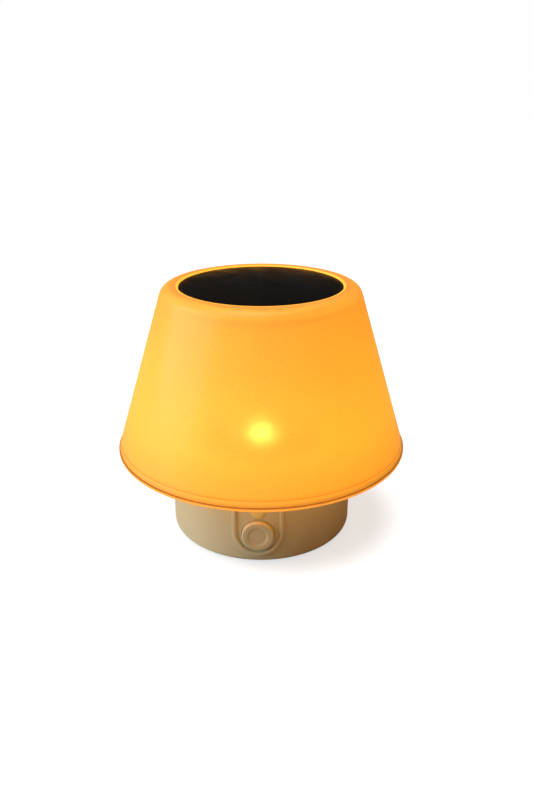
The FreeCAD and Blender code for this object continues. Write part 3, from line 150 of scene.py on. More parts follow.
def colour_setting(name, description, default):
    """A colour."""
    return FloatVectorProperty(
        name=name, description=description, subtype="COLOR", size=3, min=0, max=1, default=default)


class ShadeSettings(bpy.types.PropertyGroup):
    """Sizes and colours of the frosted shade."""
    wall: length_setting("Wall", "Thickness of the shade's wall", 0.0022)
    top_radius: length_setting(
        "Top radius", "Radius the taper would reach at the top without its shoulder", 0.0488)
    shoulder: length_setting("Shoulder", "Radius of the rounded shoulder", 0.006)
    band_height: length_setting("Band height", "Height of the band round the rim", 0.0027)
    amber: colour_setting("Amber", "Body colour of the frosted plastic", (0.93, 0.40, 0.095))
    glow: colour_setting("Glow", "Colour of the light that the wall lets out", (0.97, 0.51, 0.03))
    glow_strength: strength_setting("Glow strength", "Brightness of the lit wall", 0.47)
    underglow: strength_setting("Underglow", "Extra brightness of the shade's underside", 0.6)
    see_through: share_setting(
        "See-through", "Share of light that passes straight through the wall", 0.45)
    satin: share_setting("Satin", "Roughness of the frosted skin", 0.30)


class BaseSettings(bpy.types.PropertyGroup):
    """Sizes and colours of the base, its surround and its button."""
    khaki: colour_setting("Khaki", "Colour of the soft-touch base", (0.64, 0.59, 0.37))
    edge: length_setting("Edge", "Radius round the foot of the base", 0.0022)
    wall: length_setting("Wall", "Thickness of the base's wall", 0.0024)
    plate_depth: length_setting(
        "Front plate depth", "Thickness of the plate let into the base's front", 0.0014)
    rib_width: length_setting("Rib width", "Width of the raised rib", 0.0023)
    rib_height: length_setting("Rib height", "Height of the rib above the base", 0.0013)
    joint: length_setting("Joint", "Width of the fine joint line round let-in pieces", 0.00008)
    dish_radius: length_setting("Dish radius", "Radius of the dish in the button", 0.00475)
    dish_depth: length_setting("Dish depth", "Depth of the dish in the button", 0.0005)
    grain: share_setting("Grain", "Strength of the fine moulded texture", 0.25)


class PanelSettings(bpy.types.PropertyGroup):
    """Look of the solar panel."""
    cell_colour: colour_setting("Cell colour", "Colour of the silicon", (0.012, 0.0095, 0.0085))
    cover_colour: colour_setting(
        "Cover colour", "Colour of the dark cover", (0.0062, 0.0042, 0.0027))
    finger_pitch: length_setting(
        "Finger pitch", "Distance between the fine contact lines", 0.0016)


class LightSettings(bpy.types.PropertyGroup):
    """Brightness and colour of the lamp inside the shade."""
    lamp_colour: colour_setting("Lamp colour", "Colour of the lit lens", (1.0, 0.93, 0.62))
    lamp_strength: strength_setting("Lamp strength", "Brightness of the lit lens", 360.0)


class StageSettings(bpy.types.PropertyGroup):
    """Camera, floor and studio lights."""
    camera_place: FloatVectorProperty(
        name="Camera place", description="Where the camera stands", subtype="TRANSLATION", size=3,
        default=(0.0137, -0.3544, 0.2187))
    camera_pitch: FloatProperty(
        name="Camera pitch", description="How far the camera looks down", subtype="ANGLE",
        default=math.radians(22.95))
    camera_turn: FloatProperty(
        name="Camera turn", description="How far the camera turns to its left", subtype="ANGLE",
        default=math.radians(1.77))
    lens: FloatProperty(name="Lens", description="Focal length in millimetres", default=33.0, min=1)
    key_strength: strength_setting(
        "Key light", "Power of the soft light on the left", 9.8, unit="POWER")
    ambient: strength_setting("Ambient", "Strength of the even light from all round", 0.08)
    floor_radius: length_setting("Floor radius", "Radius of the pale floor", 6.0)


class LanternSettings(bpy.types.PropertyGroup):
    """All of the lantern's settings."""
    shade: PointerProperty(type=ShadeSettings)
    base: PointerProperty(type=BaseSettings)
    panel: PointerProperty(type=PanelSettings)
    light: PointerProperty(type=LightSettings)
    stage: PointerProperty(type=StageSettings)
    segments: IntProperty(
        name="Segments", description="Facets round each turned piece", default=192, min=24)


# ------------------------------------------------------------------ mesh making

def object_from(bm, name, sharp_angle=35):
    """A smooth-shaded object from a bmesh, with hard edges kept where faces meet steeply."""
    bmesh.ops.recalc_face_normals(bm, faces=bm.faces)
    mesh = bpy.data.meshes.new(name)
    bm.to_mesh(mesh)
    bm.free()
    for polygon in mesh.polygons:
        polygon.use_smooth = True
    mesh.set_sharp_from_angle(angle=math.radians(sharp_angle))
    thing = bpy.data.objects.new(name, mesh)
    bpy.context.scene.collection.objects.link(thing)
    return thing


def rounded_outline(corners, steps=6):
    """A closed outline from (radius, height, corner radius) corners, rounded where asked."""
    outline = []
    count = len(corners)
    for index, (across, up, bend) in enumerate(corners):
        corner = Vector((across, up))
        if bend <= 0:
            outline.append(corner)
            continue
        before = Vector(corners[index - 1][:2])
        after = Vector(corners[(index + 1) % count][:2])
        inward = (before - corner).normalized()
        outward = (after - corner).normalized()
        half = inward.angle(outward) / 2
        setback = bend / math.tan(half)
        middle = corner + (inward + outward).normalized() * (bend / math.sin(half))
        start = corner + inward * setback - middle
        finish = corner + outward * setback - middle
        sweep = start.angle_signed(finish)
        for step in range(steps + 1):
            turn = Matrix.Rotation(-sweep * step / steps, 2)
            outline.append(middle + turn @ start)
    return outline


def lathe(name, outline, segments, turn=None, sharp_angle=35):
    """A closed outline of (radius, height) points turned about the upright axis."""
    bm = bmesh.new()
    rings = []
    for point in outline:
        if abs(point[0]) < 1e-7:
            rings.append([bm.verts.new((0, 0, point[1]))])
            continue
        ring = []
        for step in range(segments):
            angle = 2 * math.pi * step / segments
            x, y = point[0] * math.cos(angle), point[0] * math.sin(angle)
            ring.append(bm.verts.new((x, y, point[1])))
        rings.append(ring)
    for index, ring in enumerate(rings):
        join_rings(bm, ring, rings[(index + 1) % len(rings)], segments)
    if turn is not None:
        bm.transform(turn)
    return object_from(bm, name, sharp_angle)


def join_rings(bm, ring, following, segments):
    """Faces between two rings of a turned piece, either of which may be a point on the axis."""
    if len(ring) == 1 and len(following) == 1:
        return
    for step in range(segments):
        after = (step + 1) % segments
        if len(ring) == 1:
            bm.faces.new((ring[0], following[step], following[after]))
        elif len(following) == 1:
            bm.faces.new((ring[step], following[0], ring[after]))
        else:
            bm.faces.new((ring[step], following[step], following[after], ring[after]))


def prism(name, outline, near, far):
    """An (across, up) outline carried along Y from one distance to another."""
    bm = bmesh.new()
    rings = [[bm.verts.new((across, y, up)) for across, up in outline] for y in (near, far)]
    count = len(outline)
    for index in range(count):
        after = (index + 1) % count
        bm.faces.new((rings[0][index], rings[0][after], rings[1][after], rings[1][index]))
    for ring in rings:
        bm.faces.new(ring)
    return object_from(bm, name)


def band_outline(inner, outer, low, high):
    """Outline of a plain ring, or of a rod where the inner radius is 0."""
    return [(inner, low), (outer, low), (outer, high), (inner, high)]


def box_outline(left, right, low, high, bend=0.0):
    """Corners of an upright rectangle, rounded where asked."""
    corners = [(left, low, bend), (right, low, bend), (right, high, bend), (left, high, bend)]
    return rounded_outline(corners, steps=8)


def u_outline(radius, centre, top, steps=48):
    """Outline of an upright U, open edge at the top, about a centre height."""
    arc = []
    for step in range(steps + 1):
        angle = math.pi + math.pi * step / steps
        arc.append((radius * math.cos(angle), centre + radius * math.sin(angle)))
    return [(-radius, top), *arc, (radius, top)]


def disc_outline(radius, centre, across=0.0, steps=96):
    """Outline of a round hole or rod."""
    turns = [2 * math.pi * step / steps for step in range(steps)]
    return [(across + radius * math.cos(turn), centre + radius * math.sin(turn)) for turn in turns]


def shape_with(body, cutter, operation, sharp_angle=35):
    """Applies a boolean to a body and removes the cutter."""
    modifier = body.modifiers.new("shaping", "BOOLEAN")
    modifier.operation = operation
    modifier.solver = "EXACT"
    modifier.object = cutter
    settle(body, sharp_angle)
    bpy.data.objects.remove(cutter)
    return body


def settle(body, sharp_angle=35):
    """Applies a piece's modifiers and marks its hard edges again."""
    evaluated = body.evaluated_get(bpy.context.evaluated_depsgraph_get())
    settled = bpy.data.meshes.new_from_object(evaluated)
    body.modifiers.clear()
    body.data = settled
    for polygon in settled.polygons:
        polygon.use_smooth = True
    settled.set_sharp_from_angle(angle=math.radians(sharp_angle))


def facing_front(height):
    """Turns a piece made about the upright axis so that its top faces the front, at a height."""
    return Matrix.Translation((0, 0, height)) @ Matrix.Rotation(math.radians(90), 4, "X")


def fit_piece(thing, body, slot, material, *nodes):
    """Gives a piece its material and its body and hides the CAD nodes that it stands for; `slot` is
    not used.
    """
    thing.data.materials.clear()
    thing.data.materials.append(material)
    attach(thing, body)
    if nodes:
        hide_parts(*nodes)
    return thing


# ------------------------------------------------------------------ material making

class Shader:
    """A material's node tree with short calls for the nodes that the finishes share."""

    def __init__(self, name):
        self.material = bpy.data.materials.new(name)
        self.material.use_nodes = True
        self.nodes = self.material.node_tree.nodes
        self.links = self.material.node_tree.links
        self.skin = self.nodes["Principled BSDF"]
        self.place = self.nodes.new("ShaderNodeTexCoord").outputs["Object"]

    def set(self, **values):
        """Sets sockets of the Principled shader that are the same all over."""
        for name, amount in values.items():
            self.skin.inputs[name.replace("_", " ")].default_value = amount
        return self

    def feed(self, name, output):
        """Links an output to a socket of the Principled shader."""
        self.links.new(output, self.skin.inputs[name])

    def fill(self, node, socket, source):
        """Links or sets one input of a node."""
        if isinstance(source, bpy.types.NodeSocket):
            self.links.new(source, node.inputs[socket])
        else:
            node.inputs[socket].default_value = source

    def noise(self, scale, detail=3.0, roughness=0.5, place=None):
        """Value of a noise texture in the piece's own space."""
        node = self.nodes.new("ShaderNodeTexNoise")
        self.fill(node, "Vector", place or self.place)
        node.inputs["Scale"].default_value = scale
        node.inputs["Detail"].default_value = detail
        node.inputs["Roughness"].default_value = roughness
        return node.outputs["Fac"]

    def math(self, operation, first, second=0.0, third=0.0):
        """Result of a math node."""
        node = self.nodes.new("ShaderNodeMath")
        node.operation = operation
        for socket, source in enumerate((first, second, third)):
            self.fill(node, socket, source)
        return node.outputs[0]

    def span(self, source, low, high, to_low, to_high, smooth=True):
        """Maps a span of one value onto another, held at its ends."""
        node = self.nodes.new("ShaderNodeMapRange")
        node.interpolation_type = "SMOOTHSTEP" if smooth else "LINEAR"
        for socket, amount in (("Value", source), ("From Min", low), ("From Max", high),
                               ("To Min", to_low), ("To Max", to_high)):
            self.fill(node, socket, amount)
        return node.outputs["Result"]

    def blend(self, share, first, second, kind="MIX"):
        """Mixes two colours."""
        node = self.nodes.new("ShaderNodeMix")
        node.data_type = "RGBA"
        node.blend_type = kind
        self.fill(node, "Factor", share)
        for socket, source in ((6, first), (7, second)):
            self.fill(node, socket, with_alpha(source))
        return node.outputs[2]

    def parts(self):
        """The X, Y and Z of the piece's own space."""
        node = self.nodes.new("ShaderNodeSeparateXYZ")
        self.links.new(self.place, node.inputs[0])
        return node.outputs

    def radius(self):
        """Distance from the upright axis."""
        x, y, _ = self.parts()
        squares = self.math("MULTIPLY", x, x), self.math("MULTIPLY", y, y)
        return self.math("SQRT", self.math("ADD", *squares))

    def distance_to(self, point):
        """Distance from a fixed point."""
        node = self.nodes.new("ShaderNodeVectorMath")
        node.operation = "DISTANCE"
        self.links.new(self.place, node.inputs[0])
        node.inputs[1].default_value = point
        return node.outputs["Value"]

    def vary(self, share, colour, low, high):
        """A colour that a texture takes between two brightnesses."""
        return self.blend(share, scaled(colour, low), scaled(colour, high))

    def roughen(self, texture, low, high):
        """Lets a noise vary the roughness."""
        self.feed("Roughness", self.span(texture, 0.3, 0.7, low, high))

    def bump(self, height, strength, depth):
        """Raises the surface by a height texture."""
        node = self.nodes.new("ShaderNodeBump")
        node.inputs["Strength"].default_value = strength
        node.inputs["Distance"].default_value = depth
        self.fill(node, "Height", height)
        self.feed("Normal", node.outputs["Normal"])


def with_alpha(source):
    """A plain colour given its alpha, or a socket as it is."""
    if isinstance(source, bpy.types.NodeSocket):
        return source
    return (*tuple(source)[:3], 1.0)


def amber_material(settings, name="frosted_amber", under=0.0, glow=None):
    """Frosted amber plastic with the lamp's light through it painted in as glow; `under` adds
    painted glow inside of the rim.
    """
    shader = Shader(name)
    mottle = shader.noise(38.0, 2.0)
    skin = shader.vary(mottle, settings.amber, 0.96, 1.04)
    grain = shader.noise(2600.0, 4.0, 0.6)
    shader.roughen(grain, settings.satin - 0.03, settings.satin + 0.03)
    shader.bump(grain, 0.08, 0.00003)

    radius = shader.radius()
    height = shader.parts()[2]
    # Painted glow: the lamp's light through the wall is painted in as emission, stronger nearer the
    # lamp.
    reach = shader.math("DIVIDE", RIM_RADIUS, shader.distance_to((0, 0, LED_LEVEL)))
    level = shader.math("POWER", reach, 1.2)
    # Painted highlight: a bright ring of glow on the lip round the panel, in a yellower colour.
    on_top = shader.span(height, SHADE_TOP - 0.008, SHADE_TOP - 0.004, 0.0, 1.0)
    lip_glow = shader.math("MULTIPLY", on_top, shader.span(radius, *LIP_GLOW_SPAN, 1.0, 0.0))
    shadow = shader.span(radius, *TRAY_SHADOW_SPAN, 0.50, 0.0)
    shadow = shader.math("MULTIPLY", on_top, shadow)
    shadow = shader.math("MULTIPLY", shader.math("SUBTRACT", 1.0, lip_glow), shadow)
    # Painted shade: the glow is dimmed towards the rim.
    rim_dimming = shader.span(height, SHADE_SEAT + 0.0034, SHADE_SEAT + 0.024, 0.80, 1.0)
    # Painted shade in the parting gap and the groove: a darker body colour there, and less glow
    # below.
    gap = shader.math("COMPARE", height, SHADE_SEAT + 0.0002, 0.00026)
    groove_level = SHADE_SEAT + PARTING_GAP + settings.band_height + GROOVE_WIDTH / 2
    groove = shader.math("COMPARE", height, groove_level, 0.00024)
    crease_shade = shader.math(
        "ADD", shader.math("MULTIPLY", gap, 0.7), shader.math("MULTIPLY", groove, 0.3))
    shader.feed("Base Color", shader.blend(crease_shade, skin, (0.22, 0.08, 0.008)))
    level = shader.math("MULTIPLY", level, rim_dimming)
    # The painted tray shadow and the painted shade in the gap and groove dim the glow.
    for dark, share in ((shadow, 1.0), (gap, 0.8), (groove, 0.38)):
        kept = shader.math("SUBTRACT", 1.0, shader.math("MULTIPLY", dark, share))
        level = shader.math("MULTIPLY", level, kept)
    level = shader.math("MULTIPLY", level, settings.glow_strength)
    # Painted glow on the shade's underside, inside of the rim.
    if under:
        inside = shader.span(radius, RIM_RADIUS - 0.006, RIM_RADIUS - 0.003, under, 0.0)
        level = shader.math("ADD", level, inside)
    shader.feed("Emission Strength", shader.math("ADD", level, shader.math("MULTIPLY", lip_glow, 0.35)))
    shader.feed("Emission Color", shader.blend(lip_glow, glow or settings.glow, (1.0, 0.62, 0.04)))
    shader.set(IOR=1.4, Specular_IOR_Level=0.04, Transmission_Weight=settings.see_through)
    return shader.material


def scaled(colour, amount):
    """A colour made lighter or darker."""
    return [min(1.0, part * amount) for part in colour]


def soft_touch_material(settings, name="soft_touch_khaki"):
    """Soft-touch khaki with a fine moulded grain and faint wear in tone."""
    shader = Shader(name)
    tone = shader.noise(24.0, 3.0, 0.6)
    shader.feed("Base Color", shader.vary(tone, settings.khaki, 0.96, 1.04))
    grain = shader.noise(3200.0, 2.0, 0.7)
    cells = shader.nodes.new("ShaderNodeTexVoronoi")
    shader.fill(cells, "Vector", shader.place)
    cells.inputs["Scale"].default_value = 2200.0
    height = shader.math("ADD", grain, shader.math("MULTIPLY", cells.outputs["Distance"], 0.6))
    shader.roughen(tone, 0.56, 0.66)
    shader.bump(height, settings.grain, 0.00004)
    shader.set(Sheen_Weight=0.12, Sheen_Roughness=0.5)
    return shader.material


def plastic_material(name, colour, roughness=0.45, grain=0.15, **extra):
    """Moulded plastic or rubber with a little tone and grain."""
    shader = Shader(name)
    tone = shader.noise(60.0, 3.0)
    shader.feed("Base Color", shader.vary(tone, colour, 0.9, 1.1))
    fine = shader.noise(2400.0, 3.0, 0.6)
    shader.roughen(fine, roughness - 0.06, roughness + 0.06)
    shader.bump(fine, grain, 0.00003)
    shader.set(**extra)
    return shader.material


def metal_material(name, colour, roughness=0.3):
    """Plated or brushed metal with fine scratches."""
    shader = Shader(name)
    stretch = shader.nodes.new("ShaderNodeMapping")
    shader.fill(stretch, "Vector", shader.place)
    stretch.inputs["Scale"].default_value = (1.0, 14.0, 1.0)
    scratch = shader.noise(900.0, 3.0, 0.6, stretch.outputs["Vector"])
    shader.feed("Base Color", shader.vary(scratch, colour, 0.85, 1.0))
    shader.roughen(scratch, roughness - 0.08, roughness + 0.1)
    shader.bump(scratch, 0.12, 0.00002)
    shader.set(Metallic=1.0)
    return shader.material


def board_material(name, colour):
    """Solder mask over faint copper traces."""
    shader = Shader(name)
    traces = shader.nodes.new("ShaderNodeTexBrick")
    shader.fill(traces, "Vector", shader.place)
    traces.inputs["Scale"].default_value = 260.0
    traces.inputs["Mortar Size"].default_value = 0.08
    lighter = [min(1, c * 1.5 + 0.01) for c in colour]
    shader.fill(traces, "Color1", with_alpha(colour))
    shader.fill(traces, "Color2", with_alpha(scaled(colour, 0.9)))
    shader.fill(traces, "Mortar", with_alpha(lighter))
    shader.feed("Base Color", traces.outputs["Color"])
    fine = shader.noise(700.0)
    shader.roughen(fine, 0.25, 0.4)
    shader.bump(traces.outputs["Fac"], 0.2, 0.00003)
    return shader.material


def lamp_material(name, colour, strength):
    """A lit diffusing face, brightest in its middle."""
    shader = Shader(name)
    fine = shader.noise(1500.0)
    shader.feed("Base Color", shader.vary(fine, colour, 1.0, 1.1))
    shader.roughen(fine, 0.25, 0.35)
    fall = shader.span(shader.radius(), 0.0002, 0.0016, 1.0, 0.06)
    shader.feed("Emission Color", shader.vary(fine, colour, 1.0, 1.05))
    shader.feed("Emission Strength", shader.math("MULTIPLY", fall, strength))
    return shader.material


def cover_material(settings, name="dark_cover"):
    """Near-black cover with a black border, a thin brown line inside it and a faint seam."""
    shader = Shader(name)
    x, y, _ = shader.parts()
    radius = shader.radius()
    tone = shader.noise(70.0, 4.0, 0.6)
    dark = settings.cover_colour
    body = shader.vary(tone, dark, 0.85, 1.15)
    body = shader.blend(shader.math("GREATER_THAN", x, 0.0), body, (0.86, 0.86, 0.86), "MULTIPLY")
    pitch = settings.finger_pitch
    finger = shader.math("LESS_THAN", shader.math("PINGPONG", y, pitch / 2), pitch * 0.06)
    body = shader.blend(shader.math("MULTIPLY", finger, 0.3), body, scaled(dark, 1.5))
    seam = shader.math("COMPARE", x, 0.0, 0.0003)
    body = shader.blend(shader.math("MULTIPLY", seam, 0.5), body, scaled(dark, 2.0))
    line = shader.math("COMPARE", radius, PANEL_RADIUS - 0.0012, 0.00022)
    body = shader.blend(line, body, (0.045, 0.028, 0.014))
    border = shader.math("GREATER_THAN", radius, PANEL_RADIUS - 0.00098)
    shader.feed("Base Color", shader.blend(border, body, (0.003, 0.0026, 0.0024)))
    shader.roughen(tone, 0.30, 0.42)
    shader.bump(tone, 0.05, 0.00003)
    shader.set(Specular_IOR_Level=0.05, Specular_Tint=(1.0, 0.8, 0.62, 1.0))
    return shader.material


def cell_material(settings, name="solar_silicon"):
    """Dark silicon crossed by fine contact fingers, with a thin bright border line."""
    shader = Shader(name)
    y = shader.parts()[1]
    pitch = settings.finger_pitch
    finger = shader.math("LESS_THAN", shader.math("PINGPONG", y, pitch / 2), pitch * 0.035)
    radius = shader.radius()
    edge = PANEL_RADIUS - 0.0014
    border = shader.math("MULTIPLY", shader.math("GREATER_THAN", radius, edge - 0.0007),
                         shader.math("LESS_THAN", radius, edge - 0.0003))
    tone = shader.noise(70.0, 4.0, 0.6)
    silicon = shader.vary(tone, settings.cell_colour, 0.75, 1.25)
    lined = shader.blend(shader.math("MULTIPLY", finger, 0.5), silicon, (0.05, 0.045, 0.04))
    bordered = shader.blend(border, lined, (0.11, 0.075, 0.045))
    shader.feed("Base Color", bordered)
    shader.roughen(tone, 0.32, 0.45)
    shader.bump(finger, 0.1, 0.00002)
    return shader.material


# ------------------------------------------------------------------ operators

class LanternOperator(bpy.types.Operator):
    """Shared parts of the lantern's operators."""
    bl_options = {"REGISTER", "UNDO"}

    def settings(self, context):
        return context.scene.lantern


class LANTERN_OT_shade(LanternOperator):
    """Makes the frosted shade and its floor"""
    bl_idname = "lantern.shade"
    bl_label = "Shade"

    def execute(self, context):
        every = self.settings(context)
        shade = every.shade
        slope = (RIM_RADIUS - shade.top_radius) / (SHADE_TOP - SHADE_UNDERSIDE)
        across = shade.wall * math.sqrt(1 + slope * slope)
        amber = amber_material(shade)

        def cone(level, inset=0.0):
            return RIM_RADIUS - slope * (level - SHADE_UNDERSIDE) - inset

        gap_top = SHADE_SEAT + PARTING_GAP
        band_top = gap_top + shade.band_height
        groove_top = band_top + GROOVE_WIDTH
        groove = 0.00035
        seat = cone(SHADE_SEAT, 0.001)
        bore = PANEL_RADIUS + 0.0003
        ledge_bottom = LEDGE_TOP - 0.002
        ledge_bore = PANEL_RADIUS - 0.0034
        outline = rounded_outline([
            (cone(SHADE_SEAT, across), SHADE_SEAT, 0),
            (seat, SHADE_SEAT, 0),
            (seat, gap_top, 0),
            (cone(gap_top), gap_top, 0.00025),
            (cone(band_top), band_top, 0.00015),
            (cone(band_top, groove), band_top, 0.0001),
            (cone(groove_top, groove), groove_top, 0.0001),
            (cone(groove_top), groove_top, 0.00012),
            (shade.top_radius, SHADE_TOP, shade.shoulder),
            (bore, SHADE_TOP, 0.0004),
            (bore, LEDGE_TOP, 0),
            (ledge_bore, LEDGE_TOP, 0),
            (ledge_bore, ledge_bottom, 0),
            (cone(ledge_bottom, across), ledge_bottom, 0.003),
        ], steps=10)
        skin = lathe("frosted_shade", outline, every.segments)
        fit_piece(skin, LANTERN, "shade_amber", amber, "shade_shell")

        # The floor disc gets its own painted glow colour, which also lights the base's sides.
        lit_floor = amber_material(shade, "frosted_floor", shade.underglow, (0.86, 0.49, 0.06))
        floor_seat = SHADE_SEAT
        floor_top = SHADE_UNDERSIDE + 0.002
        tongue = cone(floor_seat + 0.003, across + 0.00025)
        inner = radius_of("base_shell") - 0.0168
        floor = lathe("shade_floor_disc", rounded_outline([
            (inner, SHADE_UNDERSIDE, 0),
            (BASE_RADIUS + 0.0006, SHADE_UNDERSIDE, 0),
            (RIM_RADIUS - 0.0040, SHADE_UNDERSIDE, 0.0002),
            (RIM_RADIUS - 0.0036, SHADE_UNDERSIDE + 0.0003, 0.0002),
            (RIM_RADIUS - 0.0028, SHADE_UNDERSIDE + 0.0003, 0.0002),
            (RIM_RADIUS - 0.0024, SHADE_UNDERSIDE, 0.0002),
            (RIM_RADIUS, SHADE_UNDERSIDE, 0.0005),
            (RIM_RADIUS, floor_seat, 0.0002),
            (tongue, floor_seat, 0),
            (tongue, floor_seat + 0.003, 0.0003),
            (tongue - 0.0016, floor_seat + 0.003, 0.0003),
            (tongue - 0.0016, floor_top, 0),
            (inner, floor_top, 0),
        ], steps=4), every.segments)
        fit_piece(floor, LANTERN, "shade_amber", lit_floor, "shade_floor")
        return {"FINISHED"}


class LANTERN_OT_panel(LanternOperator):
    """Makes the solar panel's cover and finishes its cells and backing"""
    bl_idname = "lantern.panel"
    bl_label = "Solar panel"

    def execute(self, context):
        every = self.settings(context)
        cover = lathe("panel_cover", rounded_outline([
            (0, bottom_of("panel_glass"), 0),
            (PANEL_RADIUS, bottom_of("panel_glass"), 0.0001),
            (PANEL_RADIUS, GLASS_TOP, 0.00025),
            (0, GLASS_TOP, 0),
        ], steps=4), every.segments)
        fit_piece(cover, LANTERN, "panel_cover", cover_material(every.panel), "panel_glass")
        silicon = cell_material(every.panel)
        for name in ("solar_cell_left", "solar_cell_right"):
            paint(name, silicon)
        paint("panel_backing", board_material("black_backing", (0.006, 0.006, 0.006)))
        return {"FINISHED"}


LIT_NODES = ("led_lens", "led_emitter")


class LANTERN_OT_lamp(LanternOperator):
    """Lights the lamp inside the shade"""
    bl_idname = "lantern.lamp"
    bl_label = "Lamp"

    def execute(self, context):
        light = self.settings(context).light
        lit = lamp_material("lit_lens", light.lamp_colour, light.lamp_strength)
        for node in LIT_NODES:
            paint(node, lit)
        return {"FINISHED"}


class LANTERN_OT_base(LanternOperator):
    """Makes the base's body and finishes its plate"""
    bl_idname = "lantern.base"
    bl_label = "Base"

    def execute(self, context):
        every = self.settings(context)
        base = every.base
        khaki = soft_touch_material(base)
        bore = BASE_RADIUS - base.wall
        ceiling = SHADE_UNDERSIDE - base.wall
        rebate = radius_of("base_plate") + 0.0002
        ledge = radius_of("base_plate") - 0.0022
        spigot = radius_of("shade_seal") - 0.0045
        spigot_top = bottom_of("led_board")
        body = lathe("base_body", rounded_outline([
            (rebate, BASE_BOTTOM, 0),
            (BASE_RADIUS, BASE_BOTTOM, base.edge),
            (BASE_RADIUS, SHADE_UNDERSIDE, 0),
            (spigot, SHADE_UNDERSIDE, 0),
            (spigot, spigot_top, 0.0004),
            (0, spigot_top, 0),
            (0, ceiling, 0),
            (bore, ceiling, 0.001),
            (bore, top_of("base_gasket") + 0.0018, 0),
            (ledge, top_of("base_gasket") + 0.0018, 0),
            (ledge, top_of("base_gasket"), 0),
            (rebate, top_of("base_gasket"), 0),
        ]), every.segments)
        inside = BASE_RADIUS - 0.006
        outside = BASE_RADIUS + CUT_PAST
        pocket_outline = u_outline(SURROUND_RADIUS, SURROUND_CENTRE, SURROUND_TOP)
        pocket = prism("pocket", pocket_outline, -outside, -inside)
        core_outline = band_outline(0, BASE_RADIUS - base.plate_depth, 0, SHADE_TOP)
        core = lathe("core", core_outline, every.segments)
        shape_with(pocket, core, "DIFFERENCE")
        shape_with(body, pocket, "DIFFERENCE")
        cut_front_holes(body, -outside, -inside)
        cut_port_recess(body, bore)
        fit_piece(body, LANTERN, "soft_khaki", khaki, "base_shell")
        paint("base_plate", khaki)
        return {"FINISHED"}


def cut_front_holes(body, near, far):
    """Cuts the ways of the button and the indicator."""
    for radius, level in ((BUTTON_RADIUS + BUTTON_CLEARANCE, BUTTON_HEIGHT),
                          (INDICATOR_RADIUS + INDICATOR_CLEARANCE, INDICATOR_HEIGHT)):
        hole = prism("hole", disc_outline(radius, level), near, far)
        shape_with(body, hole, "DIFFERENCE")


def cut_port_recess(body, bore):
    """Backs the wall with a pad and cuts the rear cover's seat, pin bores, scoop and port mouth."""
    outside = BASE_RADIUS + CUT_PAST
    half = COVER_HIGH.x + 0.0003
    floor = HINGE.z - 0.0017
    pad_half, pad_thickness, pad_drop, pad_rise, pad_root = 0.011, 0.0027, 0.0013, 0.0023, 0.0005
    pad_outline = box_outline(-pad_half, pad_half, floor - pad_drop, COVER_HIGH.z + pad_rise)
    pad = prism("port_pad", pad_outline, PORT_FACE - pad_thickness, bore + pad_root)
    shape_with(body, pad, "UNION")
    recess_outline = box_outline(-half, half, floor, COVER_HIGH.z + 0.0003)
    recess = prism("recess", recess_outline, PORT_FACE, outside)
    shape_with(body, recess, "DIFFERENCE")
    turn = Matrix.Rotation(math.radians(90), 4, "Y")
    reach = half + 0.0015
    rod = lathe("pin_bores", band_outline(0, HINGE_PIN_RADIUS, -reach, reach), 32,
                Matrix.Translation(HINGE) @ turn)
    shape_with(body, rod, "DIFFERENCE")
    scoop = 0.005
    centre = Vector((0, BASE_RADIUS + 0.68 * scoop, COVER_HIGH.z + 0.0016))
    arc = [(scoop * math.cos(angle), scoop * math.sin(angle))
           for angle in (math.pi * (step / 24 - 0.5) for step in range(25))]
    ball = lathe("scoop", arc, 64, Matrix.Translation(centre))
    shape_with(body, ball, "DIFFERENCE")
    low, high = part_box("charge_port")
    gap = 0.00025
    bend = (high.z - low.z) / 2 + gap - 1e-6
    mouth_outline = box_outline(low.x - gap, high.x + gap, low.z - gap, high.z + gap, bend)
    mouth = prism("mouth", mouth_outline, PORT_FACE - CUT_PAST, outside)
    shape_with(body, mouth, "DIFFERENCE")


class LANTERN_OT_surround(LanternOperator):
    """Makes the plate let into the base's front, with its raised U-shaped rib"""
    bl_idname = "lantern.surround"
    bl_label = "Surround"

    def execute(self, context):
        every = self.settings(context)
        base = every.base
        seat = BASE_RADIUS - base.plate_depth
        outer = SURROUND_RADIUS - base.joint
        wall = band_outline(seat, BASE_RADIUS, BASE_BOTTOM, SHADE_UNDERSIDE)
        plate = lathe("front_surround", wall, every.segments)
        near, far = -(BASE_RADIUS + CUT_PAST), -(BASE_RADIUS - 2 * CUT_PAST)
        shape = prism("surround_shape", u_outline(outer, SURROUND_CENTRE, SURROUND_TOP), near, far)
        shape_with(plate, shape, "INTERSECT")
        rib = u_rib("surround_rib", outer, base, seat + 0.0002)
        shape_with(plate, rib, "UNION")
        cut_front_holes(plate, near, far)
        fit_piece(plate, LANTERN, "soft_khaki", soft_touch_material(base, "soft_touch_front"),
                  "control_surround")
        return {"FINISHED"}


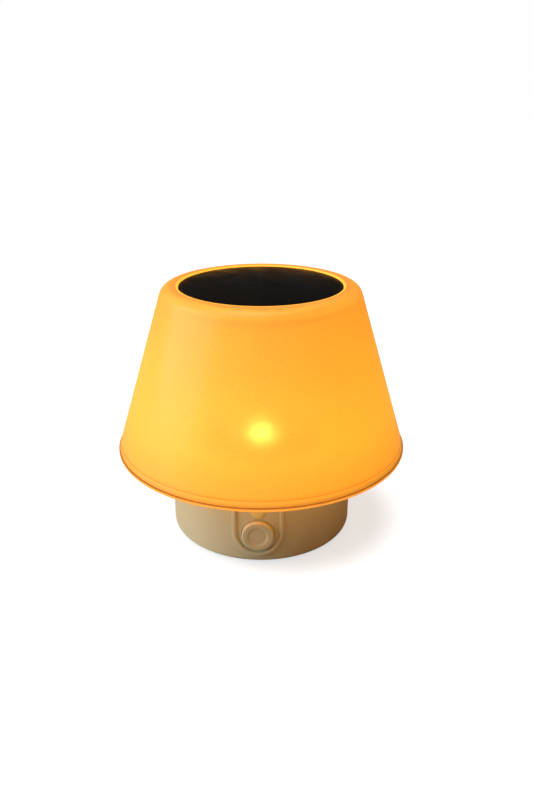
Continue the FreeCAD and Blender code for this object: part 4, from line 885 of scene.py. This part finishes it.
def u_rib(name, outer, base, root):
    """A rounded rib that follows a U on the base's curve, rooted inside the plate."""
    width, height = base.rib_width, base.rib_height
    bend_out, bend_in = 0.5 * height, 0.75 * height
    section = rounded_outline([
        (0, root - BASE_RADIUS, 0),
        (0, height, bend_out),
        (width, height, bend_in),
        (width, root - BASE_RADIUS, 0),
    ], steps=6)
    stations = [((-outer, SURROUND_TOP), (1, 0))]
    steps = 56
    for step in range(steps + 1):
        angle = math.pi + math.pi * step / steps
        outward = (math.cos(angle), math.sin(angle))
        place = (outer * outward[0], SURROUND_CENTRE + outer * outward[1])
        stations.append((place, (-outward[0], -outward[1])))
    stations.append(((outer, SURROUND_TOP), (-1, 0)))
    bm = bmesh.new()
    rings = []
    for (across, up), (inward_x, inward_z) in stations:
        ring = []
        for along, proud in section:
            x = across + inward_x * along
            y = -math.sqrt((BASE_RADIUS + proud) ** 2 - x * x)
            ring.append(bm.verts.new((x, y, up + inward_z * along)))
        rings.append(ring)
    for ring, following in zip(rings, rings[1:]):
        join_rings(bm, ring, following, len(section))
    bm.faces.new(rings[0])
    bm.faces.new(rings[-1])
    return object_from(bm, name)


class LANTERN_OT_button(LanternOperator):
    """Makes the push button with its dished middle and its flange"""
    bl_idname = "lantern.button"
    bl_label = "Button"

    def execute(self, context):
        every = self.settings(context)
        base = every.base
        flange_back = BUTTON_BACK + 0.0014
        crest = BUTTON_CREST
        dish = crest - base.dish_depth
        stem = 0.0016
        button = lathe("button_cap", rounded_outline([
            (0, BUTTON_BACK, 0),
            (stem, BUTTON_BACK, 0),
            (stem, flange_back, 0),
            (BUTTON_FLANGE_RADIUS, flange_back, 0),
            (BUTTON_FLANGE_RADIUS, flange_back + 0.001, 0),
            (BUTTON_RADIUS, flange_back + 0.001, 0),
            (BUTTON_RADIUS, crest - 0.0005, 0.0003),
            (BUTTON_RADIUS - 0.0006, crest, 0.0004),
            (base.dish_radius + 0.0005, crest, 0.0005),
            (base.dish_radius - 0.0005, dish + 0.00005, 0.0006),
            (0, dish, 0),
        ], steps=5), 128, facing_front(BUTTON_HEIGHT), 60)
        fit_piece(button, BUTTON, "soft_khaki", soft_touch_material(base, "soft_touch_button"),
                  "power_button")
        return {"FINISHED"}


class LANTERN_OT_indicator(LanternOperator):
    """Makes the small domed indicator lens"""
    bl_idname = "lantern.indicator"
    bl_label = "Indicator"

    def execute(self, context):
        flange_front = INDICATOR_BACK + 0.0008
        lens = lathe("indicator_dome", rounded_outline([
            (0, INDICATOR_BACK, 0),
            (INDICATOR_FLANGE_RADIUS, INDICATOR_BACK, 0),
            (INDICATOR_FLANGE_RADIUS, flange_front, 0),
            (INDICATOR_RADIUS, flange_front, 0),
            (INDICATOR_RADIUS, INDICATOR_FRONT - 0.0005, 0.0005),
            (INDICATOR_RADIUS - 0.0016, INDICATOR_FRONT, 0.003),
            (0, INDICATOR_FRONT, 0),
        ], steps=6), 96, facing_front(INDICATOR_HEIGHT), 60)
        warm = plastic_material("warm_indicator", (0.88, 0.72, 0.25), 0.3, 0.06)
        fit_piece(lens, LANTERN, "indicator_amber", warm, "indicator_lens")
        return {"FINISHED"}


class LANTERN_OT_port_cover(LanternOperator):
    """Makes the rear cover that swings down from the charging port"""
    bl_idname = "lantern.port_cover"
    bl_label = "Port cover"

    def execute(self, context):
        every = self.settings(context)
        thickness = 0.0019
        bead = HINGE.z - COVER_LOW.z
        inner = BASE_RADIUS - thickness
        wall = band_outline(inner, BASE_RADIUS, HINGE.z, COVER_HIGH.z)
        cover = lathe("port_flap", wall, every.segments)
        half = COVER_HIGH.x
        corner = 0.0016
        outline = rounded_outline([
            (-half, HINGE.z, 0),
            (half, HINGE.z, 0),
            (half, COVER_HIGH.z, corner),
            (-half, COVER_HIGH.z, corner),
        ], steps=8)
        shape = prism("cover_shape", outline, inner - CUT_PAST, BASE_RADIUS + CUT_PAST)
        shape_with(cover, shape, "INTERSECT")
        turn = Matrix.Translation(HINGE) @ Matrix.Rotation(math.radians(90), 4, "Y")
        rod = lathe("cover_bead", band_outline(0, bead, -half, half), 48, turn)
        shape_with(cover, rod, "UNION")
        plug_half, plug_rise, bend = 0.0035, 0.00075, 0.0007
        plug_outline = box_outline(
            -plug_half, plug_half, PORT_HEIGHT - plug_rise, PORT_HEIGHT + plug_rise, bend)
        plug = prism("cover_plug", plug_outline, COVER_LOW.y, inner + 0.0006)
        shape_with(cover, plug, "UNION")
        bore = HINGE_PIN_RADIUS + 0.00005
        reach = half + 0.001
        way = lathe("cover_bore", band_outline(0, bore, -reach, reach), 32, turn)
        shape_with(cover, way, "DIFFERENCE")
        khaki = soft_touch_material(every.base, "soft_touch_cover")
        fit_piece(cover, PORT_FLAP, "soft_khaki", khaki, "port_cover")
        return {"FINISHED"}


class LANTERN_OT_inner(LanternOperator):
    """Finishes the boards, cell, leads, seals and screws"""
    bl_idname = "lantern.inner"
    bl_label = "Inner parts"

    def execute(self, context):
        slots = {row["node"]: row["material_slot"] for row in frame["record"]["subparts"]}
        finishes = {
            "black_rubber": plastic_material("black_rubber", (0.03, 0.03, 0.03), 0.7),
            "grey_rubber": plastic_material("grey_rubber", (0.12, 0.11, 0.10), 0.65),
            "tray_plastic": plastic_material("dark_tray", (0.05, 0.04, 0.03), 0.5),
            "white_plastic": plastic_material("white_moulding", (0.85, 0.84, 0.8), 0.4),
            "cradle_plastic": plastic_material("dark_nylon", (0.05, 0.05, 0.055), 0.5),
            "lens_clear": plastic_material("milky_lens", (0.9, 0.85, 0.7), 0.3),
            "indicator_amber": plastic_material("indicator_lens", (0.80, 0.50, 0.16), 0.3),
            "led_face": lamp_material("indicator_face", (1.0, 0.8, 0.4), 0.5),
            "screw_steel": metal_material("screw_steel", (0.55, 0.55, 0.57)),
            "spring_brass": metal_material("spring_brass", (0.75, 0.58, 0.30)),
            "port_steel": metal_material("port_steel", (0.62, 0.62, 0.64), 0.22),
            "cell_wrap": plastic_material("cell_wrap", (0.05, 0.14, 0.32), 0.3),
            "component_black": plastic_material("component_black", (0.02, 0.02, 0.022), 0.5),
            "socket_white": plastic_material("socket_white", (0.8, 0.78, 0.7), 0.4),
            "lead_black": plastic_material("lead_jacket", (0.02, 0.02, 0.02), 0.5),
            "green_board": board_material("green_board", (0.01, 0.10, 0.035)),
            "white_board": board_material("white_board", (0.75, 0.76, 0.74)),
        }
        for node, slot in slots.items():
            if slot in finishes and node not in LIT_NODES:
                paint(node, finishes[slot])
        return {"FINISHED"}


class LANTERN_OT_stage(LanternOperator):
    """Sets the camera, floor and soft studio light"""
    bl_idname = "lantern.stage"
    bl_label = "Stage"

    def execute(self, context):
        stage = self.settings(context).stage
        make_camera(stage)
        make_floor(stage)
        make_lights(stage)
        make_world(stage)
        return {"FINISHED"}


def paint(node, material):
    """Gives a CAD node one material."""
    mesh = NODES[node].data
    mesh.materials.clear()
    mesh.materials.append(material)


# ------------------------------------------------------------------ stage

def make_camera(stage):
    """Camera at the viewing angle."""
    data = bpy.data.cameras.new("view")
    data.lens = stage.lens
    data.clip_start = 0.01
    data.clip_end = 50
    camera = bpy.data.objects.new("view", data)
    camera.location = stage.camera_place
    camera.rotation_euler = (math.radians(90) - stage.camera_pitch, 0, stage.camera_turn)
    bpy.context.scene.collection.objects.link(camera)
    bpy.context.scene.camera = camera


def seen_directly(nodes):
    """Output that is 1 for what the viewer sees directly and 0 for bounced light."""
    return nodes.new("ShaderNodeLightPath").outputs["Is Camera Ray"]


def make_floor(stage):
    """Pale floor that stays near white, takes the lights' soft shadow and has a painted shadow
    round the base.
    """
    bm = bmesh.new()
    bmesh.ops.create_circle(bm, cap_ends=True, segments=96, radius=stage.floor_radius)
    floor = object_from(bm, "floor")
    shader = Shader("pale_floor")
    seen = seen_directly(shader.nodes)
    shader.feed("Base Color", shader.blend(seen, (0.45, 0.38, 0.25), (0.20, 0.27, 0.33)))
    shader.set(Roughness=0.9, Specular_IOR_Level=0.0)
    shader.skin.inputs["Emission Color"].default_value = (1.0, 1.0, 1.0, 1.0)
    # Painted shadow: the floor's emission is lowered round the base, offset to the right.
    level = shader.span(shader.distance_to((0.012, 0.004, 0)), 0.048, 0.074, 0.68, 1.0)
    shader.feed("Emission Strength", shader.math("MULTIPLY", seen, level))
    floor.data.materials.append(shader.material)


def make_lights(stage):
    """One large soft light low on the left and a weak one above."""
    for name, place, size, power in (
            ("key", (-0.9, -0.18, 0.42), 1.1, stage.key_strength),
            ("top", (-0.15, -0.25, 1.1), 0.9, stage.key_strength * 0.55)):
        data = bpy.data.lights.new(name, "AREA")
        data.shape = "DISK"
        data.size = size
        data.energy = power
        data.color = (0.93, 1.0, 1.1)
        lamp = bpy.data.objects.new(name, data)
        lamp.location = place
        aim = Vector((0, 0, 0.05)) - lamp.location
        lamp.rotation_euler = aim.to_track_quat("-Z", "Y").to_euler()
        bpy.context.scene.collection.objects.link(lamp)


def make_world(stage):
    """White backdrop whose own light on the object is weak."""
    world = bpy.data.worlds.new("backdrop")
    world.use_nodes = True
    nodes = world.node_tree.nodes
    links = world.node_tree.links
    background = nodes["Background"]
    background.inputs["Color"].default_value = (1, 1, 1, 1)
    level = nodes.new("ShaderNodeMix")
    level.inputs["A"].default_value = stage.ambient
    level.inputs["B"].default_value = 1.0
    links.new(seen_directly(nodes), level.inputs["Factor"])
    links.new(level.outputs["Result"], background.inputs["Strength"])
    bpy.context.scene.world = world
    bpy.context.scene.view_settings.view_transform = "Standard"


# ------------------------------------------------------------------ panel, registration and main

OPERATORS = (LANTERN_OT_stage, LANTERN_OT_shade, LANTERN_OT_panel, LANTERN_OT_lamp, LANTERN_OT_base,
             LANTERN_OT_surround, LANTERN_OT_button, LANTERN_OT_indicator, LANTERN_OT_port_cover,
             LANTERN_OT_inner)


class LANTERN_PT_sidebar(bpy.types.Panel):
    """Lists the lantern's pieces"""
    bl_idname = "LANTERN_PT_sidebar"
    bl_label = "Solar Lantern"
    bl_space_type = "VIEW_3D"
    bl_region_type = "UI"
    bl_category = "Lantern"

    def draw(self, context):
        for operator in OPERATORS:
            self.layout.operator(operator.bl_idname)


CLASSES = (ShadeSettings, BaseSettings, PanelSettings, LightSettings, StageSettings,
           LanternSettings, *OPERATORS, LANTERN_PT_sidebar)


def register():
    for kind in CLASSES:
        bpy.utils.register_class(kind)
    bpy.types.Scene.lantern = PointerProperty(type=LanternSettings)


def unregister():
    del bpy.types.Scene.lantern
    for kind in reversed(CLASSES):
        bpy.utils.unregister_class(kind)


def main():
    """Makes every piece in order."""
    register()
    for operator in OPERATORS:
        call = getattr(bpy.ops.lantern, operator.bl_idname.split(".")[1])
        if call() != {"FINISHED"}:
            raise RuntimeError(f"{operator.bl_label} could not finish")


if __name__ == "__main__":
    main()
